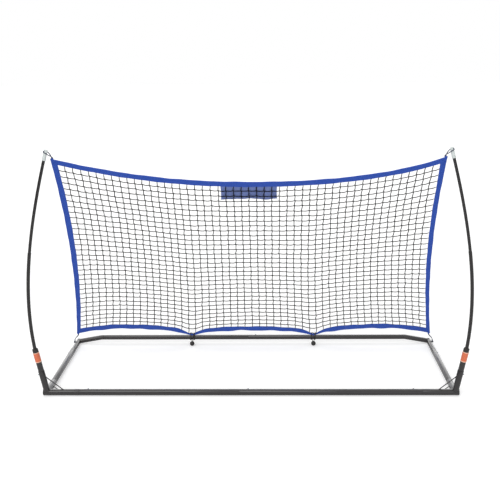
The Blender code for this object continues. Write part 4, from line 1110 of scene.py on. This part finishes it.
# For each hem: how many waves it has, how far they go sideways, and how far they lift its edge.
HEM_WAVES = {"foot": (14, 0.0022, 0.0022), "top": (14, 0.0009, 0.0006),
             "left": (9, 0.0007, 0.0006), "right": (9, 0.0007, 0.0006)}
STITCH_START = 0.004
TAB_ROOT = 0.010
TAB_OUT = 0.0025
TAB_SQUARENESS = (0.7, 0.8)
FOLD_ROWS = 24
FOOT_TAPE_WIDER = 0.12
TOP_CORD_RADIUS = 0.0025
CORD_RADIUS = 0.002
TOP_SEATS = (0.0080, 0.0145)
BOTTOM_SEATS = (0.0065, 0.0115)

# Woven polyester webbing, royal blue: fine ribs across the tape, 1.6 mm apart so that they show,
# with painted shade where the weave sinks, and a soft sheen of the fibre.
RIB_PITCH = 0.0016
WEFT_SCALE = 0.45
DYE_CLOUD = 0.0455
blue_webbing, tree = new_material("woven_blue_polyester_webbing")
along = add_node(tree, "TexCoord", out="UV")
lay = add_node(tree, "Mapping", {"Vector": along, "Scale": (1 / RIB_PITCH, 1 / RIB_PITCH, 1)})
warp = add_node(tree, "TexWave", {"Vector": lay, "Scale": WAVE_SCALE, "Distortion": 0.3},
                out="Fac", bands_direction="X")
weft = add_node(tree, "TexWave", {"Vector": lay, "Scale": WEFT_SCALE, "Distortion": 0.2},
                out="Fac", bands_direction="Y")
weave = add_node(tree, "Math", {0: warp, 1: weft}, operation="MULTIPLY")
place = add_node(tree, "TexCoord", out="Object")
cloud = add_node(tree, "TexNoise", {"Vector": place, "Scale": 1 / DYE_CLOUD, "Detail": 5})
patchy_tone = add_node(tree, "Mix", {0: cloud, 6: "#3A62C6", 7: "#4D7AE2"}, out=2, data_type="RGBA")
# Painted shade: the tape's blue is darker where the weave sinks.
tone = add_node(tree, "Mix", {0: weave, 6: "#2A4AA8", 7: patchy_tone}, out=2, data_type="RGBA")
end_material(tree, weave, 0.55, 0.0004, {
    "Base Color": tone, "Roughness": 0.72, "Specular IOR Level": 0.2,
    "Sheen Weight": 0.06, "Sheen Roughness": 0.45,
})

# Bonded polyester thread, blue like the tape and a little shinier.
PLY_SIZE = 0.00111
blue_thread, tree = new_material("bonded_blue_polyester_thread")
place = add_node(tree, "TexCoord", out="Object")
cloud = add_node(tree, "TexNoise", {"Vector": place, "Scale": 1 / PLY_SIZE, "Detail": 2})
tone = add_node(tree, "Mix", {0: cloud, 6: "#1B3A92", 7: "#3B66D2"}, out=2, data_type="RGBA")
thread = add_node(tree, "BsdfPrincipled", {"Base Color": tone, "Roughness": 0.45})
add_node(tree, "OutputMaterial", {"Surface": thread})


def sheet_from_grid(columns, rows, place_of, size, thickness, seam=False):
    """A cloth from a grid primitive whose points are set in place, with its map in real metres.

    Where a seam joins two of its edges, their points are merged.
    """
    bpy.ops.object.select_all(action="DESELECT")
    bpy.ops.mesh.primitive_grid_add(x_subdivisions=columns, y_subdivisions=rows, size=2)
    piece = bpy.context.object
    for corner in piece.data.uv_layers.active.data:
        corner.uv = (corner.uv.x * size[0], corner.uv.y * size[1])
    for vertex in piece.data.vertices:
        vertex.co = place_of((vertex.co.x + 1) / 2, vertex.co.y)
    if seam:
        merge_points(piece)
    apply_modifier(piece, "SOLIDIFY", thickness=thickness, offset=0)
    return piece


def hem_line(which, t, inset):
    """A point of a hem on the net's plane, with the small waves that sewing leaves in the tape.

    The foot is narrow where the hold-downs gather it and pull it down.
    The right side is stretched narrower than the left.
    """
    ends = min(1, HEM_FADE * t * (1 - t))
    drawn = gathered(edge(which, t, inset).x) if which == "foot" else 0
    if which == "foot":
        inset *= 1 - drawn * (TIE_NARROW + FOOT_WIDER) / (1 + FOOT_WIDER)
    elif which == "right":
        inset *= 1 - RIGHT_NARROWER * ends
    point = edge(which, t, inset)
    waves, slack, rise = HEM_WAVES[which]
    along = t * waves
    # Waves of unlike lengths are added, so that no two puckers are the same.
    wave = (math.sin(along * 4.1 + inset * 60) + 0.6 * math.sin(along * 9.7 + 1.3)) * ends
    lift = math.sin(along * 6.3 + 0.8) * ends * rise
    across = Vector((0, 1, 0)) if which in ("foot", "top") else Vector((1, 0, 0))
    pleat = PLEAT_DEPTH * drawn * math.sin(math.tau * PLEATS * inset / HEM_WIDTH)
    return (point + across * (wave * slack * (1 - drawn) - TIE_DIP * drawn * (which == "foot"))
            + Vector((0, 0, lift * (1 - inset / HEM_WIDTH) * (1 - drawn) + pleat)))


def folded(which):
    """Where the webbing lies: front face, round the edge cord, and back along the other face."""
    def place_of(t, fold):
        inset = abs(fold) * HEM_WIDTH
        if inset < HEM_CORD_REACH:
            part = inset / HEM_CORD_REACH
            half = HEM_CORD_HALF * math.sqrt(1 - (1 - min(1, 2 * part)) ** 2)
            half += (HEM_HALF - HEM_CORD_HALF) * max(0, 2 * part - 1)
        else:
            half = HEM_HALF
        point = hem_line(which, t, inset)
        return NET_PLANE @ (point + Vector((0, 0, math.copysign(half, fold) if fold else 0)))
    return place_of


def sewn(name, lines, faces, lift):
    """Rows of stitches along lines of the net's plane, on one face of the cloth or on both."""
    bpy.ops.object.select_all(action="DESELECT")
    bpy.ops.mesh.primitive_ico_sphere_add(subdivisions=1, radius=1)
    stitch = bpy.context.object
    stitch.scale = (STITCH_LENGTH / 2, THREAD_HALF, THREAD_HALF)
    settle(stitch)
    places = []
    for line in lines:
        carried = 0
        for a, b in zip(line, line[1:]):
            length = (b - a).length
            turn = Matrix.Rotation(math.atan2((b - a).y, (b - a).x), 4, "Z")
            while carried < length:
                point = a + (b - a) * (carried / length)
                for face in faces:
                    place = Matrix.Translation(point + Vector((0, 0, lift * face)))
                    places.append(NET_PLANE @ place @ turn)
                carried += STITCH_PITCH
            carried -= length
    return dress(copies(name, stitch, places), name, blue_thread, "blue_webbing")


def hem_seat(side, which, distance):
    """A place on a hem's edge near its corner, with the ways along the edge and out of it."""
    ends = (0, 0.02) if side < 0 else (1, 0.98)
    corner, further = (edge(which, t, 0) for t in ends)
    along = (further - corner).normalized()
    normal = Vector((-along.y, along.x, 0))
    normal = normal if normal.y * (1 if which == "top" else -1) > 0 else -normal
    return corner + along * distance, along, normal


def corner_tab(name, side, which, middle, reach, half, cord):
    """A sleeve of webbing at the net's corner that both strands of its elastic loop come out of."""
    at, along, normal = hem_seat(side, which, middle)
    root_thick, tip_thick = HEM_HALF + WEBBING_THICKNESS, cord + WEBBING_THICKNESS / 2 + TOUCH_GAP

    def place_of(around, height):
        part = (height + 1) / 2
        thick = root_thick + (tip_thick - root_thick) * part
        a = math.tau * around
        x = half * math.copysign(abs(math.cos(a)) ** TAB_SQUARENESS[0], math.cos(a))
        lift = thick * math.copysign(abs(math.sin(a)) ** TAB_SQUARENESS[1], math.sin(a))
        out = (TAB_ROOT + reach) * part - TAB_ROOT
        return NET_PLANE @ (at + along * x + normal * out + Vector((0, 0, lift)))

    tab = sheet_from_grid(40, 14, place_of, (4 * half, TAB_ROOT + reach), WEBBING_THICKNESS, seam=True)
    return dress(tab, name, blue_webbing, "blue_webbing")


samples = [i / HEM_STEPS for i in range(HEM_STEPS + 1)]
stitched = [STITCH_START + (1 - 2 * STITCH_START) * t for t in samples]
for which, node in (
    ("top", "hem_top"), ("foot", "hem_bottom"), ("left", "hem_left"), ("right", "hem_right"),
):
    middle = [edge(which, t, HEM_WIDTH / 2) for t in samples]
    length = sum((b - a).length for a, b in zip(middle, middle[1:]))
    width = (2 * HEM_WIDTH + math.pi * HEM_CORD_HALF) * (1 + FOOT_TAPE_WIDER * (which == "foot"))
    tape = sheet_from_grid(HEM_STEPS, FOLD_ROWS, folded(which), (length, width), WEBBING_THICKNESS)
    label = node.replace("hem_", "") + "_hem"
    dress(tape, f"{label}_webbing", blue_webbing, "blue_webbing", node)
    lines = [[hem_line(which, t, inset) for t in stitched] for inset in STITCH_ROWS]
    sewn_on = [sewn(f"{label}_stitching", lines, (-1, 1), HEM_HALF + WEBBING_THICKNESS / 2)]
    seats, cord = (TOP_SEATS, TOP_CORD_RADIUS) if which == "top" else (BOTTOM_SEATS, CORD_RADIUS)
    if which in ("top", "foot"):
        middle, half = sum(seats) / 2, (seats[1] - seats[0]) / 2 + cord + WEBBING_THICKNESS
        for name, side in SIDES:
            tab_name, reach = f"{label}_tab_{name}", 2 * cord + TAB_OUT
            sewn_on.append(corner_tab(tab_name, side, which, middle, reach, half, cord))

# Cloth panel. A strip of navy polyester cloth with a turned and sewn border hangs behind the top
# of the net, on the player's side. The real one is printed, and this one is left bare.

PANEL_WIDTH = 0.325
PANEL_HEIGHT = 0.115
PANEL_LAP = 0.0134
PANEL_THICKNESS = 0.0008
PANEL_BORDER = 0.009
PANEL_BACK = 0.0028
PANEL_HANG = 0.0045
PANEL_FOLD = 0.0024
PANEL_FOOT_WAVE = 0.0035
PANEL_PULL = 0.0020
BORDER_THICKER = 0.0005
BORDER_SEAM_IN = 0.002
BORDER_SEAM_TOP = 3
BORDER_SEAM_STEPS = 40
BORDER_FOOT_STEPS = 60

# Plain-woven polyester cloth, navy: a matt face with threads 1.2 mm apart, drawn twice as coarse as
# the real ones, with painted shade where the weave sinks, and soft patches of painted highlight
# where creases would catch the light.
THREAD_PITCH = 0.0012
CREASE_LIGHT_SIZE = 0.0333
navy_cloth, tree = new_material("woven_navy_polyester_cloth")
along = add_node(tree, "TexCoord", out="UV")
lay = add_node(tree, "Mapping", {"Vector": along, "Scale": (1 / THREAD_PITCH, 1 / THREAD_PITCH, 1)})
warp, weft = (
    add_node(tree, "TexWave", {"Vector": lay, "Scale": WAVE_SCALE}, out="Fac", bands_direction=axis)
    for axis in ("X", "Y")
)
weave = add_node(tree, "Math", {0: warp, 1: weft}, operation="MULTIPLY")
place = add_node(tree, "TexCoord", out="Object")
# Painted highlight: lighter patches of the cloth's blue stand in for light caught by creases.
painted_crease_light = add_node(tree, "TexNoise", {"Vector": place, "Scale": 1 / CREASE_LIGHT_SIZE, "Detail": 5})
patchy_tone = add_node(tree, "Mix", {0: painted_crease_light, 6: "#8292C8", 7: "#AFBBE8"}, out=2, data_type="RGBA")
# Painted shade: the cloth is darker where the weave sinks.
tone = add_node(tree, "Mix", {0: weave, 6: "#5368A8", 7: patchy_tone}, out=2, data_type="RGBA")
end_material(tree, weave, 0.4, 0.0003, {"Base Color": tone, "Roughness": 0.8, "Sheen Weight": 0.2})

panel_top = edge("top", 0.5, HEM_WIDTH).y + PANEL_LAP


def panel_line(across, down):
    """A point of the panel from its two shares: flat at the hem, with loose folds towards its foot."""
    x = (across - 0.5) * PANEL_WIDTH
    slack = down ** 1.5
    # Here too the waves have unlike lengths, in radians across the whole panel.
    foot = PANEL_FOOT_WAVE * math.sin(across * 9.2 + 0.6) * slack
    fold = PANEL_FOLD * (math.sin(across * 15 + down * 2.1) + 0.5 * math.sin(across * 31 + 1.7)) * slack
    inward = PANEL_PULL * math.sin(down * 3.0) * (1 - 2 * across)
    y = panel_top - PANEL_HEIGHT * down - foot
    return Vector((x + inward, y, fold - PANEL_BACK - PANEL_HANG * slack))


def panel_place(across, height):
    down = (1 - height) / 2
    x_in, y_in = min(across, 1 - across) * PANEL_WIDTH, (1 - down) * PANEL_HEIGHT
    border = BORDER_THICKER if min(x_in, y_in) < PANEL_BORDER else 0
    return NET_PLANE @ (panel_line(across, down) - Vector((0, 0, border)))


panel = sheet_from_grid(80, 34, panel_place, (PANEL_WIDTH, PANEL_HEIGHT), PANEL_THICKNESS)
dress(panel, "top_cloth_panel", navy_cloth, "panel_cloth", "top_panel")
seam_in = PANEL_BORDER - BORDER_SEAM_IN
seam_x, seam_foot = seam_in / PANEL_WIDTH, 1 - seam_in / PANEL_HEIGHT
steps_down = [seam_foot * k / BORDER_SEAM_STEPS for k in range(BORDER_SEAM_TOP, BORDER_SEAM_STEPS + 1)]
steps_across = [seam_x + (1 - 2 * seam_x) * k / BORDER_FOOT_STEPS for k in range(BORDER_FOOT_STEPS + 1)]
border_lines = [
    [panel_line(seam_x, down) for down in steps_down],
    [panel_line(across, seam_foot) for across in steps_across],
    [panel_line(1 - seam_x, down) for down in steps_down],
]
panel_stitching = sewn("panel_stitching", border_lines, (-1, 0.3), PANEL_THICKNESS)

# Elastic loops. Braided shock cord, dark blue-grey, is sewn into each corner of the net. The top
# loops pass through the slots and round the caps, and the bottom loops go round the hooks.

LOOP_FALL = 0.0035
CORD_STEPS = 10
CORD_LEAD = 3
CORD_AT_EDGE = 0.0006
CORD_SEWN_IN = 0.010
SEWN_SHARE = 0.45
BRAID_PITCH = 0.00333
BRAID_SLANT = 4
HOOK_WRAP_START = math.radians(10)
HOOK_WRAP_STEPS = 5
CAD_PIN_SIDES = 12
OVER_BAR = REAR_RADIUS / math.cos(math.pi / CAD_TUBE_SIDES) + TOUCH_GAP + CORD_RADIUS


def braided_sleeve(name, hollow, lit_crest):
    """Braided polyester over rubber: two crossing sets of strands, drawn 3.3 mm apart so that they show."""
    sleeve, tree = new_material(name)
    along = add_node(tree, "TexCoord", out="UV")
    strands = {}
    for i, slant in enumerate((BRAID_SLANT, -BRAID_SLANT)):
        lay = add_node(tree, "Mapping", {"Vector": along, "Scale": (slant, 2 / BRAID_PITCH, 1)})
        strands[i] = add_node(tree, "TexWave", {"Vector": lay, "Scale": WAVE_SCALE},
                              out="Fac", bands_direction="DIAGONAL")
    braid = add_node(tree, "Math", strands, operation="MULTIPLY")
    # Painted shade and highlight: the cord is darker in the braid's hollows and lighter on its crests.
    tone = add_node(tree, "Mix", {0: braid, 6: hollow, 7: lit_crest}, out=2, data_type="RGBA")
    end_material(tree, braid, 0.5, 0.0003, {"Base Color": tone, "Roughness": 0.7, "Sheen Weight": 0.1})
    return sleeve


# The corner loops are blue-grey.
grey_shock_cord = braided_sleeve("braided_blue_grey_shock_cord", "#232A3D", "#4C5874")


def smooth_path(points, steps):
    """A curve through the points, with the same number of steps between each two."""
    ways = [(b - a).normalized() for a, b in zip(points, points[1:])]
    turns = [(a + b).normalized() for a, b in zip(ways[:1] + ways, ways + ways[-1:])]
    path = []
    for i, (start, end) in enumerate(zip(points, points[1:])):
        reach = (end - start).length
        path += hermite(start, turns[i] * reach, end, turns[i + 1] * reach, steps)[:-1]
    path.append(points[-1])
    return path


def cord_end(side, which, distance, radius):
    """Two points that lead a cord square on to a hem's edge near its corner, and one inside it."""
    at, along, normal = hem_seat(side, which, distance)
    return [NET_PLANE @ (at + normal * reach) for reach in (CORD_LEAD * radius, CORD_AT_EDGE, -CORD_SEWN_IN)]


def pressed_ends(path):
    """Shares of a cord's radius along its path. It is pressed thin where it is sewn into the hem."""
    sewn_part = [SEWN_SHARE + (1 - SEWN_SHARE) * i / CORD_STEPS for i in range(CORD_STEPS)]
    return [*sewn_part, *[1] * (len(path) - 2 * CORD_STEPS), *sewn_part[::-1]]


for name, side in SIDES:
    turn = tip_frame(side)
    rim = CAP_TOP_RADIUS / math.cos(math.pi / CAD_CAP_SIDES)
    off = TOUCH_GAP + TOP_CORD_RADIUS
    clear = CAP_RADIUS / math.cos(math.pi / CAD_CAP_SIDES) + off
    low, half = -SLOT_DEPTH, off * math.sqrt(0.5)
    path = [(low + half, rim + half, 0), (low + off, rim - off, 0), (low + off, 0, 0),
            (low + off, off - rim, 0), (low + half, -rim - half, 0), (low - off, -clear, 0)]
    for i in range(1, 4):
        angle = -math.pi / 2 + i * math.pi / 4
        path.append((low - off - i * LOOP_FALL, clear * math.sin(angle), side * clear * math.cos(angle)))
    first, second = (cord_end(side, "top", gap, TOP_CORD_RADIUS) for gap in TOP_SEATS)
    points = [*reversed(first)] + [turn @ Vector(point) for point in path] + [*second]
    path = smooth_path(points, CORD_STEPS)
    loop = swept([path], TOP_CORD_RADIUS, resolution=4, swell=pressed_ends(path))
    dress(loop, f"top_elastic_{name}", grey_shock_cord, "elastic_cord", f"top_loop_{name}")

    centre = hook_foot(side) + Vector((side * (HOOK_LENGTH - HOOK_HEAD) / 2, 0, 0))
    around = HOOK_RADIUS / math.cos(math.pi / CAD_PIN_SIDES) + TOUCH_GAP + CORD_RADIUS
    under = []
    for i in range(HOOK_WRAP_STEPS + 1):
        angle = HOOK_WRAP_START - i * (math.pi + 2 * HOOK_WRAP_START) / HOOK_WRAP_STEPS
        under.append(centre + Vector((0, math.cos(angle), math.sin(angle))) * around)
    behind, before = (centre + Vector((0, way * around, OVER_BAR)) for way in (1, -1))
    far, near = (cord_end(side, "foot", gap, CORD_RADIUS) for gap in BOTTOM_SEATS)
    points = [*reversed(far), behind, *under, before, *near]
    path = smooth_path(points, CORD_STEPS)
    loop = swept([path], CORD_RADIUS, resolution=4, swell=pressed_ends(path))
    dress(loop, f"bottom_elastic_{name}", grey_shock_cord, "elastic_cord", f"bottom_loop_{name}")

# Hold-downs. A length of black shock cord is wound round the gathered hem and the rear bar, and
# crosses over. Its free bight hangs with a moulded black ball that a hand pulls it by.

BALL_RADIUS = 0.016
BALL_FORWARD = 0.045
BALL_FLOOR_GAP = 0.0005
BALL_CORD_SPREAD = 0.0045
BALL_CORD_DEPTH = 0.3
WRAP_STEPS = 40
TIE_CLEAR = 0.0090
TIE_ABOVE_HEM = 0.0012
TIE_TURN_RADIUS = 0.0052
TIE_TURNS = 2
TIE_PITCH = 0.0043
BALL_RINGS = 36
BALL_RIDGE = 0.00035

# The same shock cord as at the corners, in black.
black_shock_cord = braided_sleeve("braided_black_shock_cord", "#0F0E0E", "#2A2827")


def belt(first, first_radius, second, second_radius, steps):
    """The closed line round two circles in the YZ plane, as (y, z) pairs."""
    gap = second - first
    bearing = math.atan2(gap.y, gap.x)
    open_by = math.acos((first_radius - second_radius) / gap.length)
    points = []
    for centre, radius, start, sweep in (
        (first, first_radius, bearing + open_by, 2 * math.pi - 2 * open_by),
        (second, second_radius, bearing - open_by, 2 * open_by),
    ):
        for i in range(steps + 1):
            angle = start + sweep * i / steps
            points.append((centre.x + radius * math.cos(angle), centre.y + radius * math.sin(angle)))
    return points


bar = Vector((REAR_Y, REAR_BAR_Z))
for name, side in SIDES:
    above = NET_PLANE @ Vector((side * TIE_X, HEM_WIDTH * (1 - TIE_NARROW) + TIE_ABOVE_HEM - TIE_DIP, 0))
    turn = belt(bar, OVER_BAR, Vector((above.y, above.z)), TIE_TURN_RADIUS, WRAP_STEPS)
    last = TIE_TURNS * len(turn)
    path = []
    for k, (y, z) in enumerate(turn * (2 * TIE_TURNS)):
        crossing = min(1, max(0, (k - last + WRAP_STEPS) / WRAP_STEPS))
        wound = TIE_PITCH * (k - last + (WRAP_STEPS if crossing < 1 else 0)) / len(turn)
        path.append(Vector((side * TIE_X - TIE_CLEAR + wound + 2 * TIE_CLEAR * crossing, y, z)))
    tie = swept([path], CORD_RADIUS, resolution=4)
    dress(tie, f"hold_down_{name}", black_shock_cord, "elastic_cord", f"tie_loop_{name}")

    pivot = Vector((side * TIE_X, REAR_Y, REAR_BAR_Z))
    centre = Vector((0, -BALL_FORWARD, BALL_RADIUS + BALL_FLOOR_GAP - REAR_BAR_Z))
    bearing = math.atan2(centre.z, centre.y)
    meet = centre.length - BALL_RADIUS * BALL_CORD_DEPTH
    leave = bearing + math.acos(OVER_BAR / meet)
    turn = 2 * (bearing + math.pi - leave)
    bight = [(-1, meet, bearing)]
    for i in range(WRAP_STEPS + 1):
        bight.append((2 * i / WRAP_STEPS - 1, OVER_BAR, leave + turn * i / WRAP_STEPS))
    bight.append((1, meet, bearing))
    strand = [
        pivot + Vector((share * BALL_CORD_SPREAD, reach * math.cos(angle), reach * math.sin(angle)))
        for share, reach, angle in bight
    ]
    cord = swept([strand], CORD_RADIUS, resolution=4)
    ball_body = f"{name}_ball"
    dress(cord, f"pull_cord_{name}", black_shock_cord, "elastic_cord", f"ball_cord_{name}", body=ball_body)

    outline = [(-BALL_RADIUS, 0)]
    for i in range(1, BALL_RINGS):
        angle = math.pi * i / BALL_RINGS
        ridge = BALL_RIDGE if 2 * i == BALL_RINGS else 0
        outline.append((-BALL_RADIUS * math.cos(angle), (BALL_RADIUS + ridge) * math.sin(angle)))
    outline.append((BALL_RADIUS, 0))
    ball = turned(outline, pivot + centre, Vector((1, 0, 0)), sides=48, hollow=False)
    dress(ball, f"pull_ball_{name}", black_moulding, "ball_plastic", f"ball_{name}", body=ball_body)
